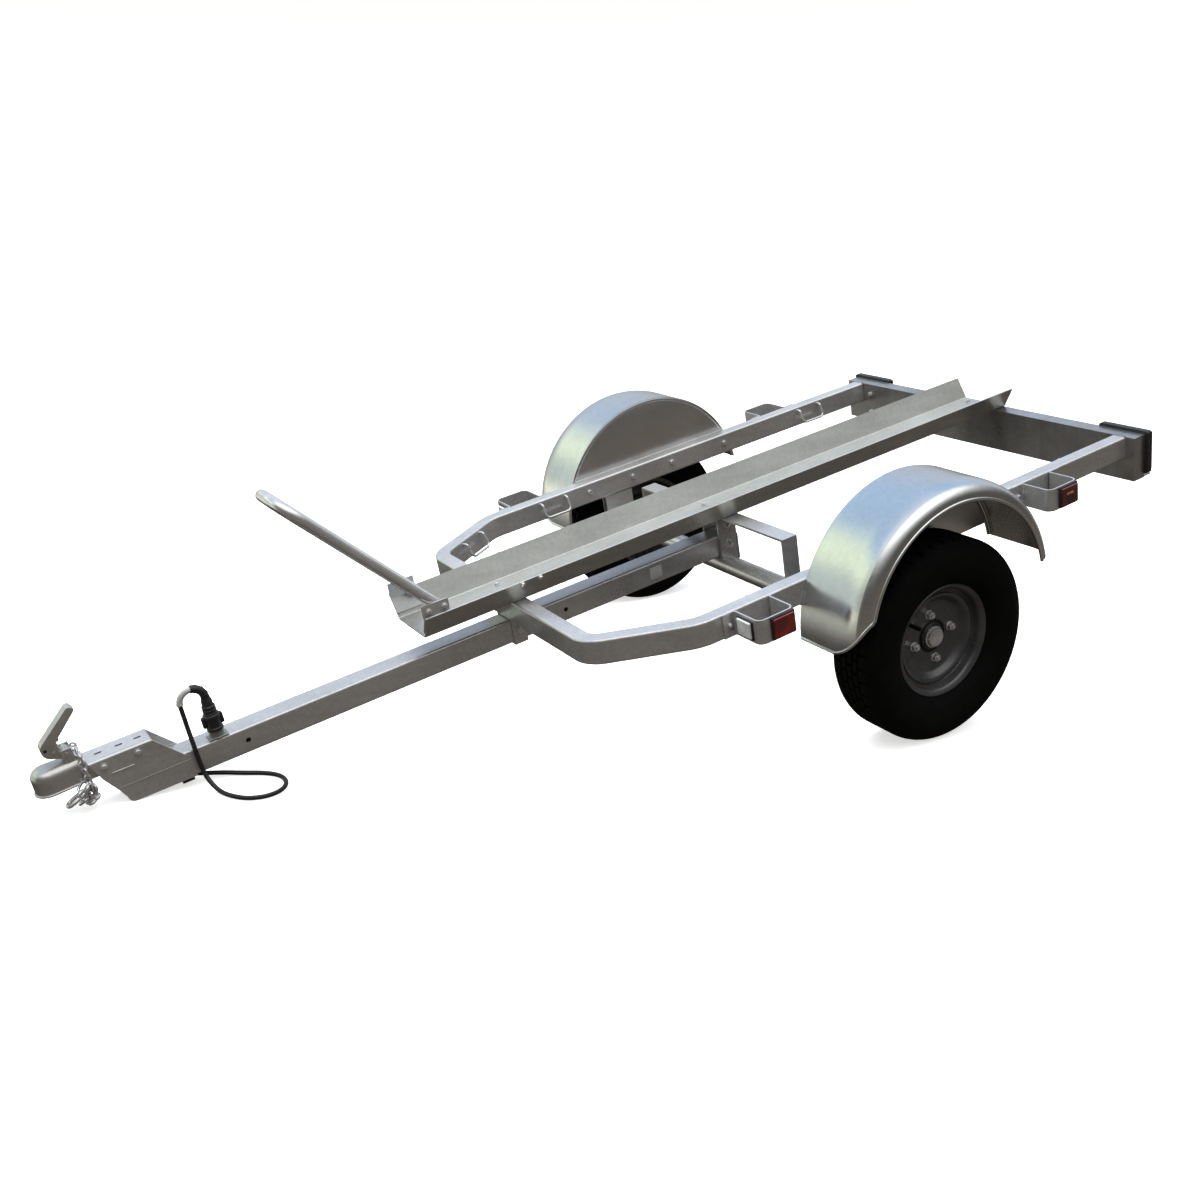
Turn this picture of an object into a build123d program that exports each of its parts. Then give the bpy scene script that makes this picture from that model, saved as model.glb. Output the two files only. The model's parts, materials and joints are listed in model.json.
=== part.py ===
from build123d import *
import math
import os

# Sizes in millimetres. Level frame: x forward from the torsion beam, y to the left,
# z up from the underside of the drawbar. The whole part is pitched nose-down at the end.
fit_gap = 0.3
slack = 1
sheet = 2
plate = 5
strap_half = 18

tube_round = 6
drawbar_size = 60
drawbar_wall = 4
nose_front = 1571
nose_round = 16
nose_x = nose_front - nose_round
drawbar_inset = 6
drawbar_front = nose_x - drawbar_inset
drawbar_rear = -30
cross_hole_r = 6
cross_hole_xs = [1302, 488]

rail_w = 40
rail_h = 60
rail_wall = 3
rail_y = 493
rail_bottom = drawbar_size
rail_top = rail_bottom + rail_h
rail_out = rail_y + rail_w / 2
rail_in = rail_y - rail_w / 2
fender_x = -148
fender_r = 305
hoop_w = 95
hoop_foot = 34
front_hoop_gap = 44
rear_hoop_gap = 79
front_hoop_x = fender_x + fender_r + front_hoop_gap + hoop_foot
rear_hoop_x = fender_x - fender_r - rear_hoop_gap - hoop_foot - hoop_w
bend_run = 48
bend_x = front_hoop_x + hoop_w + hoop_foot + bend_run
rail_joint = 112
rail_front = bend_x - rail_joint
crank_run = 210
crank_in = 121
cross_x = bend_x + crank_run
corner_y = rail_y - crank_in
cross_joint = 72
cross_half = corner_y - cross_joint
rail_rear = -954
corner_bend = 60
rail_bend = 100

floor_half = 74
wall_rise = 56
wall_flare = 31
channel_sheet = 3
fold_r = 6
channel_front = 871
channel_rear = -995
floor_top = rail_top + channel_sheet

beam_r = 25
beam_over = 7
beam_half = rail_y + beam_over
beam_z = -(beam_r + fit_gap)
clamp_back = -38
clamp_front = 18
clamp_hang = 6
seat_half = 45
seat_wall = 6
seat_in = rail_in + 1
seat_out = rail_y + 3
arch_w = 45
arch_half = 305
arch_t = 6

arm_in = beam_half
arm_t = 22
arm_out = arm_in + arm_t
arm_h = 44
arm_boss_r = 34
arm_eye_r = 28
spacer_step = 8
wheel_gap = 84
hub_x = -140
hub_z = -98
wheel_y = arm_out + wheel_gap
tyre_r = 245
tyre_half = 75
bulge_drop = 60
shoulder_drop = 14
shoulder_y = 65
edge_drop = 4
edge_y = 55
tread_half = 41
rim_seat_r = 127
rim_half = 50
flange_r = 136
flange_t = 4
rim_wall = 5
disc_set = 11
disc_y = wheel_y + disc_set
disc_t = 4
dish_depth = 15
dish_in_r = 88
dish_out_r = 102
dish_lean = 3
bore_r = 40
stud_circle = 115
stud_phase = 5
stud_r = 6
nut_across = 19
nut_h = 13
stud_over = 4
hub_inset = 34
hub_in = arm_out + hub_inset
barrel_r = 38
hub_flange_r = 74
hub_flange_t = 10
boss_r = 34
boss_h = 8
cap_r = 24
cap_bevel = 3
cap_reach = 28
stub_play = 2
stub_r = 15
running_gap = 0.05

fender_z = -18
fender_cover = 100
fender_out = wheel_y + fender_cover
fender_end_deg = 172
crown_r = 120
crown_deg = 20
roll_r = 32
roll_deg = 70
corner_r = 120
corner_cut_deg = 15
bead_r = 4

hoop_strip = 4
hoop_h = 57
hoop_z = rail_bottom + 2
hoop_reach = 87
hoop_bend = 16
foot_bend = 6
white_t = 8
white_margin = 9
side_t = 10
side_margin = 5

member_x = rail_rear
member_depth = 40
member_half = rail_out + 27
member_bottom = 2
member_sheet = 3
lamp_foot = 30
foot_in = 3
foot_w = 30
lamp_in = member_half - 142
lamp_out = member_half + 10
lamp_low = 12
lamp_high = rail_top + 8
lamp_depth = 16
lamp_round = 8
tail_depth = 12
tail_inset = 6
lens_round = 3

nose_half = drawbar_size / 2
nose_t = 4
nose_top = rail_top
head_half = 27
head_top = 134
head_low = 82
head_round = 18
ball_r = 25
ball_play = 0.5
socket_x = 1698
socket_z = 104
dome_r = 33
nose_back = 1425
nose_slope = 67
nose_step = 44
nose_chin = (1582, 38)
nose_lip = (1604, 74)
nose_tip = 1622
neck_x = nose_tip + 1
shank_x = 1500
step_x = 1590
pivot_x = 1650
pivot_z = 152
pin_r = 4
pin_over = 3
lug_t = 5
lug_half = 11
lug_rise = 10
lug_sink = 6
handle_half = 14.2
handle_gap = 0.5
lug_gap = handle_half + handle_gap
handle_wall = 4
handle_round = 4
eye_r = 10

rod_r = 13.5
rod_foot = (812, 172)
rod_top = (1113, 524)
rod_bend = 62
hoop_plate_x = (806, 872)
hoop_plate_t = 4
hoop_plate_low = 134
hoop_plate_knee = 168
hoop_plate_high = 205

loop_r = 3.5
loop_w = 80
loop_stub = 12
loop_reach = 27
loop_high = rail_bottom + 50
loop_low = rail_bottom + 14
loop_bends = [8, 12, 12, 8]
loop_xs = [216, -720]

chain_wire = 3
link_len = 30
link_w = 20
collar_r = 3.5
collar_x = 1631
collar_low = 70
collar_play = 8
collar_bend = 7
chain_y = 28
hook_len = 52
hook_w = 26
hook_wire = 3

cable_r = 5
cable_lay = 0.4
plug_x = 1358
plug_y = 14
plug_r = 17
plug_neck = 135
plug_neck_r = 12
sleeve_r = 7
holder_h = 18
holder_half = 22
holder_y = 16
plug_top = 158
elbow_r = 27
gland_x = (1430, 1456)
gland_half = 11
gland_drop = 18
cable_drop = 9

nodes = {}


def block(x0, x1, y0, y1, z0, z1):
    return Pos((x0 + x1) / 2, (y0 + y1) / 2, (z0 + z1) / 2) * Box(x1 - x0, y1 - y0, z1 - z0)


def bar_y(x, z, r, y0, y1):
    return Pos(x, (y0 + y1) / 2, z) * Rot(90, 0, 0) * Cylinder(r, y1 - y0)


def plate_xz(points, y0, y1):
    outline = Polyline(*[(x, y0, z) for x, z in points], close=True)
    return extrude(make_face(outline), amount=y1 - y0, dir=(0, 1, 0))


def section_yz(points, x0, x1):
    outline = Polyline(*[(x0, y, z) for y, z in points], close=True)
    return extrude(make_face(outline), amount=x1 - x0, dir=(1, 0, 0))


def wire_along(path, r):
    return sweep(Plane(path @ 0, z_dir=path % 0) * Circle(r), path)


def turned(points):
    return revolve(make_face(Polyline(*points, close=True)), axis=Axis.Y)


def mirrored(shape):
    return mirror(shape, about=Plane.XZ)


# how far the nose drops until the rounded foot of the nose bracket meets the ground
drop_z = nose_round - hub_z
drop_x = nose_x - hub_x
reach = math.hypot(drop_x, drop_z)
pitch = math.acos((nose_round - tyre_r) / reach) - math.atan2(drop_x, drop_z)


def ground(x):
    foot_z = nose_round - nose_round / math.cos(pitch)
    return foot_z + (x - nose_x) * math.tan(pitch)


# drawbar and the strap that clamps it under the front cross tube
half = drawbar_size / 2
bore = drawbar_size - 2 * drawbar_wall
square = RectangleRounded(drawbar_size, drawbar_size, tube_round)
square -= RectangleRounded(bore, bore, tube_round - drawbar_wall)
drawbar = Plane((drawbar_rear, 0, half), x_dir=(0, 1, 0), z_dir=(1, 0, 0)) * square
drawbar = extrude(drawbar, amount=drawbar_front - drawbar_rear)
for x in cross_hole_xs:
    drawbar -= bar_y(x, half, cross_hole_r, -half - slack, half + slack)
nodes["drawbar_tube"] = drawbar

strap_x = (cross_x - strap_half, cross_x + strap_half)
strap = block(*strap_x, -half - plate, half + plate, -plate, rail_bottom)
strap -= block(*strap_x, -half, half, 0, rail_bottom)
nodes["drawbar_strap"] = strap

# frame tube bent like a hairpin: front cross, two cranked corners, two side rails
tube = RectangleRounded(rail_w, rail_h, tube_round)
tube -= RectangleRounded(rail_w - 2 * rail_wall, rail_h - 2 * rail_wall, tube_round - rail_wall)
mid = (rail_bottom + rail_top) / 2
cross = Plane((cross_x, -cross_half, mid), x_dir=(1, 0, 0), z_dir=(0, 1, 0)) * tube
nodes["front_cross_tube"] = extrude(cross, amount=2 * cross_half)
crank = FilletPolyline(
    (cross_x, cross_half, mid),
    (cross_x, corner_y, mid),
    (bend_x, rail_y, mid),
    (rail_front, rail_y, mid),
    radius=[corner_bend, rail_bend],
)
corner = sweep(Plane(crank @ 0, x_dir=(1, 0, 0), z_dir=crank % 0) * tube, crank)
rail = Plane((rail_rear, rail_y, mid), x_dir=(0, 1, 0), z_dir=(1, 0, 0)) * tube
rail = extrude(rail, amount=rail_front - rail_rear)
nodes["left_corner_tube"] = corner
nodes["right_corner_tube"] = mirrored(corner)
nodes["left_rail_tube"] = rail
nodes["right_rail_tube"] = mirrored(rail)

# trough that takes the wheels, folded from one sheet with flared walls
lip = channel_sheet * math.hypot(wall_rise, wall_flare) / wall_rise
floor_in = floor_half - lip + channel_sheet * wall_flare / wall_rise
skin = rail_top + channel_sheet / 2
skin_half = (floor_half + floor_in) / 2
trough = FilletPolyline(
    (-skin_half - wall_flare, skin + wall_rise),
    (-skin_half, skin),
    (skin_half, skin),
    (skin_half + wall_flare, skin + wall_rise),
    radius=fold_r,
)
trough = trace(trough, line_width=channel_sheet)
trough = Plane((channel_rear, 0, 0), x_dir=(0, 1, 0), z_dir=(1, 0, 0)) * trough
nodes["moto_channel"] = extrude(trough, amount=channel_front - channel_rear)


def wall_in(z):
    return floor_in + (z - floor_top) * wall_flare / wall_rise


# bent rod that cradles the front wheel, on plates bolted inside the channel walls
knee = wall_in(hoop_plate_knee)
tab = [
    (wall_in(hoop_plate_low), hoop_plate_low),
    (knee, hoop_plate_knee),
    (knee, hoop_plate_high),
    (knee - hoop_plate_t, hoop_plate_high),
    (knee - hoop_plate_t, hoop_plate_knee + slack),
    (wall_in(hoop_plate_low) - hoop_plate_t, hoop_plate_low + 2 * slack),
]
hoop_plate = section_yz(tab, *hoop_plate_x)
nodes["left_hoop_plate"] = hoop_plate
nodes["right_hoop_plate"] = mirrored(hoop_plate)
rod_y = knee - hoop_plate_t - rod_r
cradle = FilletPolyline(
    (rod_foot[0], rod_y, rod_foot[1]),
    (rod_top[0], rod_y, rod_top[1]),
    (rod_top[0], -rod_y, rod_top[1]),
    (rod_foot[0], -rod_y, rod_foot[1]),
    radius=rod_bend,
)
nodes["wheel_hoop"] = wire_along(cradle, rod_r)

# torsion beam under the drawbar, its clamp, the arch over it and the seats under the rails
nodes["torsion_beam"] = bar_y(0, beam_z, beam_r, -beam_half, beam_half)
around_beam = bar_y(0, beam_z, beam_r + fit_gap, -beam_half, beam_half)
arch_low = rail_top - arch_t
clamp_low = beam_z - clamp_hang
clamp = block(clamp_back, clamp_front, -half - plate, half + plate, clamp_low, arch_low)
clamp -= block(clamp_back, clamp_front, -half, half, clamp_low, arch_low)
nodes["beam_clamp"] = clamp - around_beam
arch = block(-arch_w / 2, arch_w / 2, -arch_half, arch_half, beam_z, rail_top)
arch -= block(-arch_w, arch_w, arch_t - arch_half, arch_half - arch_t, beam_z - slack, arch_low)
nodes["arch_brace"] = arch - around_beam
seat = block(-seat_half, seat_half, seat_in, seat_out, beam_z, rail_bottom)
seat_hollow = (seat_in + seat_wall, seat_out - seat_wall)
seat -= block(-seat_half, seat_half, *seat_hollow, beam_z, rail_bottom - seat_wall)
seat -= around_beam
nodes["left_axle_seat"] = seat
nodes["right_axle_seat"] = mirrored(seat)

# trailing arm and stub axle
arm_path = [(0, beam_z), (hub_x, hub_z)]
arm_len = math.dist(*arm_path)
arm_tilt = math.degrees(math.atan2(beam_z - hub_z, -hub_x))
arm = Pos(-arm_len / 2, 0, 0) * Box(arm_len, arm_t, arm_h)
arm += bar_y(0, 0, arm_boss_r, -arm_t / 2, arm_t / 2)
arm += bar_y(-arm_len, 0, arm_eye_r, -arm_t / 2, arm_t / 2)
arm = Pos(0, (arm_in + arm_out) / 2, beam_z) * Rot(0, -arm_tilt, 0) * arm
arm += bar_y(hub_x, hub_z, stub_r + spacer_step, arm_out, hub_in - spacer_step)
arm += bar_y(hub_x, hub_z, stub_r, arm_out, disc_y - spacer_step)
nodes["left_swing_arm"] = arm
nodes["right_swing_arm"] = mirrored(arm)

# wheel: tyre, stepped steel rim, hub with studs, nuts and dust cap; y along the axle
side = rim_half - flange_t
low = rim_seat_r + fit_gap
over = flange_r + slack
with BuildSketch() as tyre_section:
    with BuildLine():
        Polyline((over, -rim_half), (over, -side + fit_gap), (low, -side + fit_gap), (low, side - fit_gap))
        Polyline((low, side - fit_gap), (over, side - fit_gap), (over, rim_half))
        for s in (1, -1):
            shoulder = (tyre_r - shoulder_drop, s * shoulder_y)
            ThreePointArc((over, s * rim_half), (tyre_r - bulge_drop, s * tyre_half), shoulder)
            ThreePointArc(shoulder, (tyre_r - edge_drop, s * edge_y), (tyre_r, s * tread_half))
        Line((tyre_r, tread_half), (tyre_r, -tread_half))
    make_face()
tyre = revolve(tyre_section.sketch, axis=Axis.Y)

well = rim_seat_r - rim_wall
rim = turned([(well, -rim_half), (flange_r, -rim_half), (flange_r, -side), (rim_seat_r, -side),
              (rim_seat_r, side), (flange_r, side), (flange_r, rim_half), (well, rim_half)])
disc_in = disc_set - disc_t
dish = disc_in + dish_depth
rim += turned([(bore_r, disc_in), (dish_in_r, disc_in), (dish_out_r, dish), (well + slack, dish),
               (well + slack, dish + rim_wall), (dish_out_r - dish_lean, dish + rim_wall),
               (dish_in_r - dish_lean, disc_set), (bore_r, disc_set)])
for turn in range(4):
    hole = bar_y(stud_circle / 2, 0, stud_r + slack, disc_in - slack, disc_set + slack)
    rim -= Rot(0, stud_phase + 90 * turn, 0) * hole

hub_back = hub_in - wheel_y
flange_back = disc_in - hub_flange_t
boss_end = disc_in + boss_h
stub_end = disc_set - stub_play
spindle_r = stub_r + running_gap
hub = turned([(spindle_r, hub_back), (barrel_r, hub_back), (barrel_r, flange_back),
              (hub_flange_r, flange_back), (hub_flange_r, disc_in),
              (boss_r, disc_in), (boss_r, boss_end), (cap_r, boss_end),
              (cap_r, cap_reach - cap_bevel), (cap_r - cap_bevel, cap_reach), (0, cap_reach),
              (0, stub_end), (spindle_r, stub_end)])
for turn in range(4):
    stud = bar_y(stud_circle / 2, 0, stud_r, disc_in, disc_set + nut_h + stud_over)
    nut = RegularPolygon(nut_across / 2, 6, major_radius=False)
    nut = Pos(stud_circle / 2, disc_set, 0) * Rot(-90, 0, 0) * extrude(nut, amount=nut_h)
    hub += Rot(0, stud_phase + 90 * turn, 0) * (stud + nut)

for name, shape in (("tyre", tyre), ("rim", rim), ("hub", hub)):
    placed = Pos(hub_x, wheel_y, hub_z) * shape
    nodes["left_" + name] = placed
    nodes["right_" + name] = mirrored(placed)

# fender: crowned shell whose outer edge rolls over into a bead, rounded off at the front corner,
# closed by a flat inner plate on the rail
crown = math.radians(crown_deg)
rolled = math.radians(crown_deg + roll_deg)
roll_y = fender_out - crown_r * math.sin(crown) - roll_r * (math.sin(rolled) - math.sin(crown))
drop = crown_r * (1 - math.cos(crown)) + roll_r * (math.cos(crown) - math.cos(rolled))
skin_r = fender_r - sheet / 2
edge_r = skin_r - drop
with BuildSketch() as fender_section:
    with BuildLine() as skin_line:
        flat_top = Line((skin_r, rail_out), (skin_r, roll_y))
        crowned = JernArc(flat_top @ 1, flat_top % 1, crown_r, crown_deg)
        JernArc(crowned @ 1, crowned % 1, roll_r, roll_deg)
    trace(skin_line.line, line_width=sheet)
    with Locations((edge_r, fender_out)):
        Circle(bead_r)
sweep_axis = Axis((0, 0, 0), (0, -1, 0))
shell = revolve(fender_section.sketch, axis=sweep_axis, revolution_arc=fender_end_deg)
# the corner's arc meets the front edge and the rolled flank at a clear angle, never as a tangent
graze = math.radians(corner_cut_deg)
inset = corner_r * math.cos(graze)
rise = corner_r * math.sin(graze)
slant = corner_r * math.sqrt(0.5)
flank = fender_out + sheet / 2
round_y = flank - inset
outside = fender_out + 3 * bead_r
cut_top = inset - rise + (outside - flank) / math.tan(graze)
with BuildSketch(Plane.YZ) as front_corner:
    with BuildLine():
        ThreePointArc((round_y + rise, 0), (round_y + slant, inset - slant), (flank, inset - rise))
        Polyline((flank, inset - rise), (outside, cut_top), (outside, -bead_r),
                 (round_y + rise, -bead_r), (round_y + rise, 0))
    make_face()
shell -= extrude(front_corner.sketch, amount=fender_r + bead_r)
inner = bar_y(0, 0, fender_r - sheet / 2, rail_out, rail_out + sheet)
inner -= block(-fender_r, fender_r, rail_out, rail_out + sheet, -fender_r, rail_bottom - fender_z)
fender = Pos(fender_x, 0, fender_z) * (shell + inner)
nodes["left_fender"] = fender
nodes["right_fender"] = mirrored(fender)

# marker lamp hoops on the rails; lens columns: face it sits on, start, length, colour name
hoops = {
    "front": dict(start=front_hoop_x, lenses=[("lead", 18, 46, "white"), ("side", 6, 58, "red")]),
    "rear": dict(start=rear_hoop_x, lenses=[("side", 8, 56, "amber")]),
}
for place, row in hoops.items():
    x0 = row["start"]
    x1 = x0 + hoop_w
    face_y = rail_out + hoop_strip / 2
    strip = FilletPolyline(
        (x0 - hoop_foot, face_y),
        (x0, face_y),
        (x0, rail_out + hoop_reach),
        (x1, rail_out + hoop_reach),
        (x1, face_y),
        (x1 + hoop_foot, face_y),
        radius=[foot_bend, hoop_bend, hoop_bend, foot_bend],
    )
    bracket = Pos(0, 0, hoop_z) * extrude(trace(strip, line_width=hoop_strip), amount=hoop_h)
    nodes["left_" + place + "_marker_hoop"] = bracket
    nodes["right_" + place + "_marker_hoop"] = mirrored(bracket)
    out = rail_out + hoop_reach + hoop_strip / 2
    lead = x1 + hoop_strip / 2
    for face, start, length, colour in row["lenses"]:
        if face == "lead":
            low_z = hoop_z + white_margin
            high_z = hoop_z + hoop_h - white_margin
            lens = block(lead, lead + white_t, rail_out + start, rail_out + start + length, low_z, high_z)
        else:
            low_z = hoop_z + side_margin
            high_z = hoop_z + hoop_h - side_margin
            lens = block(x0 + start, x0 + start + length, out, out + side_t, low_z, high_z)
        lens = fillet(lens.edges(), lens_round)
        nodes["left_" + place + "_" + colour + "_lens"] = lens
        nodes["right_" + place + "_" + colour + "_lens"] = mirrored(lens)

# folded rear member, open to the back, with end plates and lamp feet; tail lamps behind it
back = member_x - member_depth
member = block(back, member_x, -member_half, member_half, member_bottom, rail_top)
inside_y = member_half - member_sheet
inside_z = (member_bottom + member_sheet, rail_top - member_sheet)
member -= block(back, member_x - member_sheet, -inside_y, inside_y, *inside_z)
foot_out = member_half - foot_in
foot = block(back - lamp_foot, back, foot_out - foot_w, foot_out, member_bottom, inside_z[0])
nodes["rear_member"] = member + foot + mirrored(foot)
lamp = block(back - lamp_depth, back, lamp_in, lamp_out, lamp_low, lamp_high)
lamp = fillet(lamp.edges().filter_by(Axis.X), lamp_round)
lamp_back = back - lamp_depth
lens_y = (lamp_in + tail_inset, lamp_out - tail_inset)
lens = block(lamp_back - tail_depth, lamp_back, *lens_y, lamp_low + tail_inset, lamp_high - tail_inset)
lens = fillet(lens.edges().filter_by(Axis.X), tail_inset)
nodes["left_tail_lamp"] = lamp
nodes["right_tail_lamp"] = mirrored(lamp)
nodes["left_tail_lens"] = lens
nodes["right_tail_lens"] = mirrored(lens)

# wire loops for the tie-down straps, both ends square on the inner faces of the frame tube
turn_deg = math.degrees(math.atan2(rail_y - corner_y, cross_x - bend_x))
crank_mid = ((cross_x + bend_x) / 2, (rail_y + corner_y) / 2)
inward = (-math.sin(math.radians(turn_deg)), -math.cos(math.radians(turn_deg)))
crank_at = (crank_mid[0] + rail_w / 2 * inward[0], crank_mid[1] + rail_w / 2 * inward[1])
loop_line = FilletPolyline(
    (-loop_w / 2, 0, loop_high),
    (-loop_w / 2, -loop_stub, loop_high),
    (-loop_w / 2, -loop_reach, loop_low),
    (loop_w / 2, -loop_reach, loop_low),
    (loop_w / 2, -loop_stub, loop_high),
    (loop_w / 2, 0, loop_high),
    radius=loop_bends,
)
loop = wire_along(loop_line, loop_r)
loop_spots = [(*crank_at, -turn_deg)] + [(x, rail_in, 0) for x in loop_xs]
loops = [Pos(x, y, 0) * Rot(0, 0, spin) * loop for x, y, spin in loop_spots]
nodes["left_tie_loops"] = Compound(loops)
nodes["right_tie_loops"] = Compound([mirrored(item) for item in loops])

# folded nose bracket, ball coupling with its pivot lugs and pin
outer = nose_half + nose_t
cheek = [(nose_front, nose_round), nose_chin, nose_lip, (nose_tip, nose_top),
         (nose_back + nose_slope, nose_top), (nose_back, nose_step), (nose_back, 0), (nose_x, 0)]
bend = nose_round * math.sqrt(0.5)
foot_arc = ThreePointArc((nose_x, -outer, 0), (nose_x + bend, -outer, nose_round - bend),
                         (nose_front, -outer, nose_round))
outline = Curve() + [Polyline(*[(x, -outer, z) for x, z in cheek]), foot_arc]
bracket = extrude(make_face(outline), amount=2 * outer, dir=(0, 1, 0))
bracket = fillet(bracket.edges().filter_by(Axis.X).group_by(Axis.Z)[-1], tube_round)
bracket -= block(nose_back, neck_x, -nose_half, nose_half, 0, nose_top - nose_t)
nodes["nose_bracket"] = bracket

shank_top = nose_top - nose_t - fit_gap
head = block(shank_x, step_x, -head_half, head_half, drawbar_size + fit_gap, shank_top)
head += block(step_x, neck_x, -head_half, head_half, head_low, shank_top)
with BuildSketch() as head_plan:
    with BuildLine():
        Polyline((socket_x, dome_r), (neck_x, head_half), (neck_x, -head_half), (socket_x, -dome_r))
        ThreePointArc((socket_x, -dome_r), (socket_x + dome_r, 0), (socket_x, dome_r))
    make_face()
dome = Pos(0, 0, head_low) * extrude(head_plan.sketch, amount=head_top - head_low)
head += fillet(dome.edges().group_by(Axis.Z)[-1].sort_by(Axis.X)[1:], head_round)
lug_end = lug_gap + lug_t
for lug_y in ((lug_gap, lug_end), (-lug_end, -lug_gap)):
    head += block(pivot_x - lug_half, pivot_x + lug_half, *lug_y, head_top - lug_sink, pivot_z + lug_rise)
head += bar_y(pivot_x, pivot_z, pin_r, -lug_end - pin_over, lug_end + pin_over)
socket_r = ball_r + ball_play
mouth_h = socket_z - head_low
head -= Pos(socket_x, 0, socket_z) * Sphere(socket_r)
head -= Pos(socket_x, 0, head_low + mouth_h / 2) * Cylinder(socket_r, mouth_h)
nodes["coupling_head"] = head

# raised handle, a folded channel that opens to the front; outlines in x and z from the pivot
grip = [(-7, -9), (10, -9), (42, 4), (46, 28), (-33, 96), (-43, 83), (14, 28), (6, 9), (-7, 9)]
trough_cut = [(30.9, 34.4), (-30.8, 87.4), (-42.3, 75.2), (8.7, 26.2)]
lever = plate_xz([(pivot_x + x, pivot_z + z) for x, z in grip], -handle_half, handle_half)
lever = fillet(lever.edges().filter_by(Axis.Y), handle_round)
hollow = handle_half - handle_wall
lever -= plate_xz([(pivot_x + x, pivot_z + z) for x, z in trough_cut], -hollow, hollow)
lever += bar_y(pivot_x, pivot_z, eye_r, -handle_half, handle_half)
lever -= bar_y(pivot_x, pivot_z, pin_r + running_gap, -handle_half, handle_half)
nodes["coupling_handle"] = lever

# safety chain: a collar round the coupling neck, two links and a hook that hang from it
def ring(length, width, wire):
    half_l = length / 2 - wire
    half_w = width / 2 - wire
    corners = [(-half_w, 0, -half_l), (half_w, 0, -half_l), (half_w, 0, half_l), (-half_w, 0, half_l)]
    return wire_along(FilletPolyline(*corners, radius=half_w - 0.5, close=True), wire)


neck_y = head_half + collar_r + collar_play
neck_top = head_top + collar_r + fit_gap
collar_line = FilletPolyline(
    (collar_x, -neck_y, collar_low),
    (collar_x, neck_y, collar_low),
    (collar_x, neck_y, neck_top),
    (collar_x, -neck_y, neck_top),
    radius=collar_bend,
    close=True,
)
link_drop = link_len / 2 - chain_wire
first_z = collar_low + collar_r + chain_wire + fit_gap - link_drop
next_z = first_z - 2 * link_drop + 2 * chain_wire + fit_gap
hook_z = next_z - link_drop + chain_wire + hook_wire + fit_gap
hook_x = collar_x + hook_len / 2 - hook_wire
link = ring(link_len, link_w, chain_wire)
nodes["safety_chain"] = Compound([
    wire_along(collar_line, collar_r),
    Pos(collar_x, chain_y, first_z) * link,
    Pos(collar_x, chain_y, next_z) * Rot(0, 0, 90) * link,
    Pos(hook_x, chain_y, hook_z) * Rot(0, 90, 0) * ring(hook_len, hook_w, hook_wire),
])

# plug in its holder, the sleeve that turns its cable down, the gland under the drawbar
plug_low = drawbar_size + holder_h
holder_x = (plug_x - holder_half, plug_x + holder_half)
nodes["plug_holder"] = block(*holder_x, plug_y - holder_y, plug_y + holder_y, drawbar_size, plug_low)
plug = Pos(plug_x, plug_y, (plug_low + plug_neck) / 2) * Cylinder(plug_r, plug_neck - plug_low)
plug += Pos(plug_x, plug_y, (plug_neck + plug_top) / 2) * Cylinder(plug_neck_r, plug_top - plug_neck)
turn_line = ThreePointArc((plug_x, plug_y, plug_top), (plug_x + elbow_r, plug_y, plug_top + elbow_r),
                          (plug_x + 2 * elbow_r, plug_y, plug_top))
plug += wire_along(turn_line, sleeve_r)
nodes["plug"] = plug
nodes["cable_gland"] = block(*gland_x, -gland_half, gland_half, -gland_drop, 0)

# the cable hangs beside the drawbar, lies on the ground in an open bow and rises to the gland
lay = (cable_r + cable_lay) / math.cos(pitch)
start_x = plug_x + 2 * elbow_r
hang = [(1, plug_y + 7, 120), (3, half + 11, 70), (3, half + 16, 24), (0, half + 28, -6)]
bow = [(1402, 86), (1390, 118), (1364, 150), (1325, 162), (1288, 150), (1266, 118), (1268, 80),
       (1294, 51), (1332, 30)]
route = [(start_x, plug_y, plug_top)]
route += [(start_x + dx, y, z) for dx, y, z in hang]
route += [(x, y, ground(x) + lay) for x, y in bow]
route += [(1378, 9, -26), (gland_x[0], 0, -cable_drop)]
radii = []
for before, here, after in zip(route, route[1:], route[2:]):
    go = Vector(here) - Vector(before)
    on = Vector(after) - Vector(here)
    radii.append(0.45 * min(go.length, on.length) / math.tan(math.radians(go.get_angle(on)) / 2))
cable_line = FilletPolyline(*route, radius=radii)
nodes["cable"] = wire_along(cable_line, cable_r)

# pitch the trailer nose-down, set it on the ground and centre it
cords = ("plug", "cable")
settle = Rot(0, math.degrees(pitch), 0)
boxes = [(settle * shape).bounding_box() for name, shape in nodes.items() if name not in cords]
mid_x = (min(b.min.X for b in boxes) + max(b.max.X for b in boxes)) / 2
lift = tyre_r + hub_x * math.sin(pitch) - hub_z * math.cos(pitch)
place = Pos(-mid_x, 0, lift) * settle
os.makedirs("parts", exist_ok=True)
for name, shape in nodes.items():
    export_step(place * shape, "parts/" + name + ".step")
print("pitch", round(math.degrees(pitch), 4), "shift", round(-mid_x, 3), "lift", round(lift, 3))
print("cable radii", [round(r, 1) for r in radii], "length", round(cable_line.length, 1))
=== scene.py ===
import bpy
import bmesh
import json
import math
from mathutils import Euler, Matrix, Vector


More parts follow.
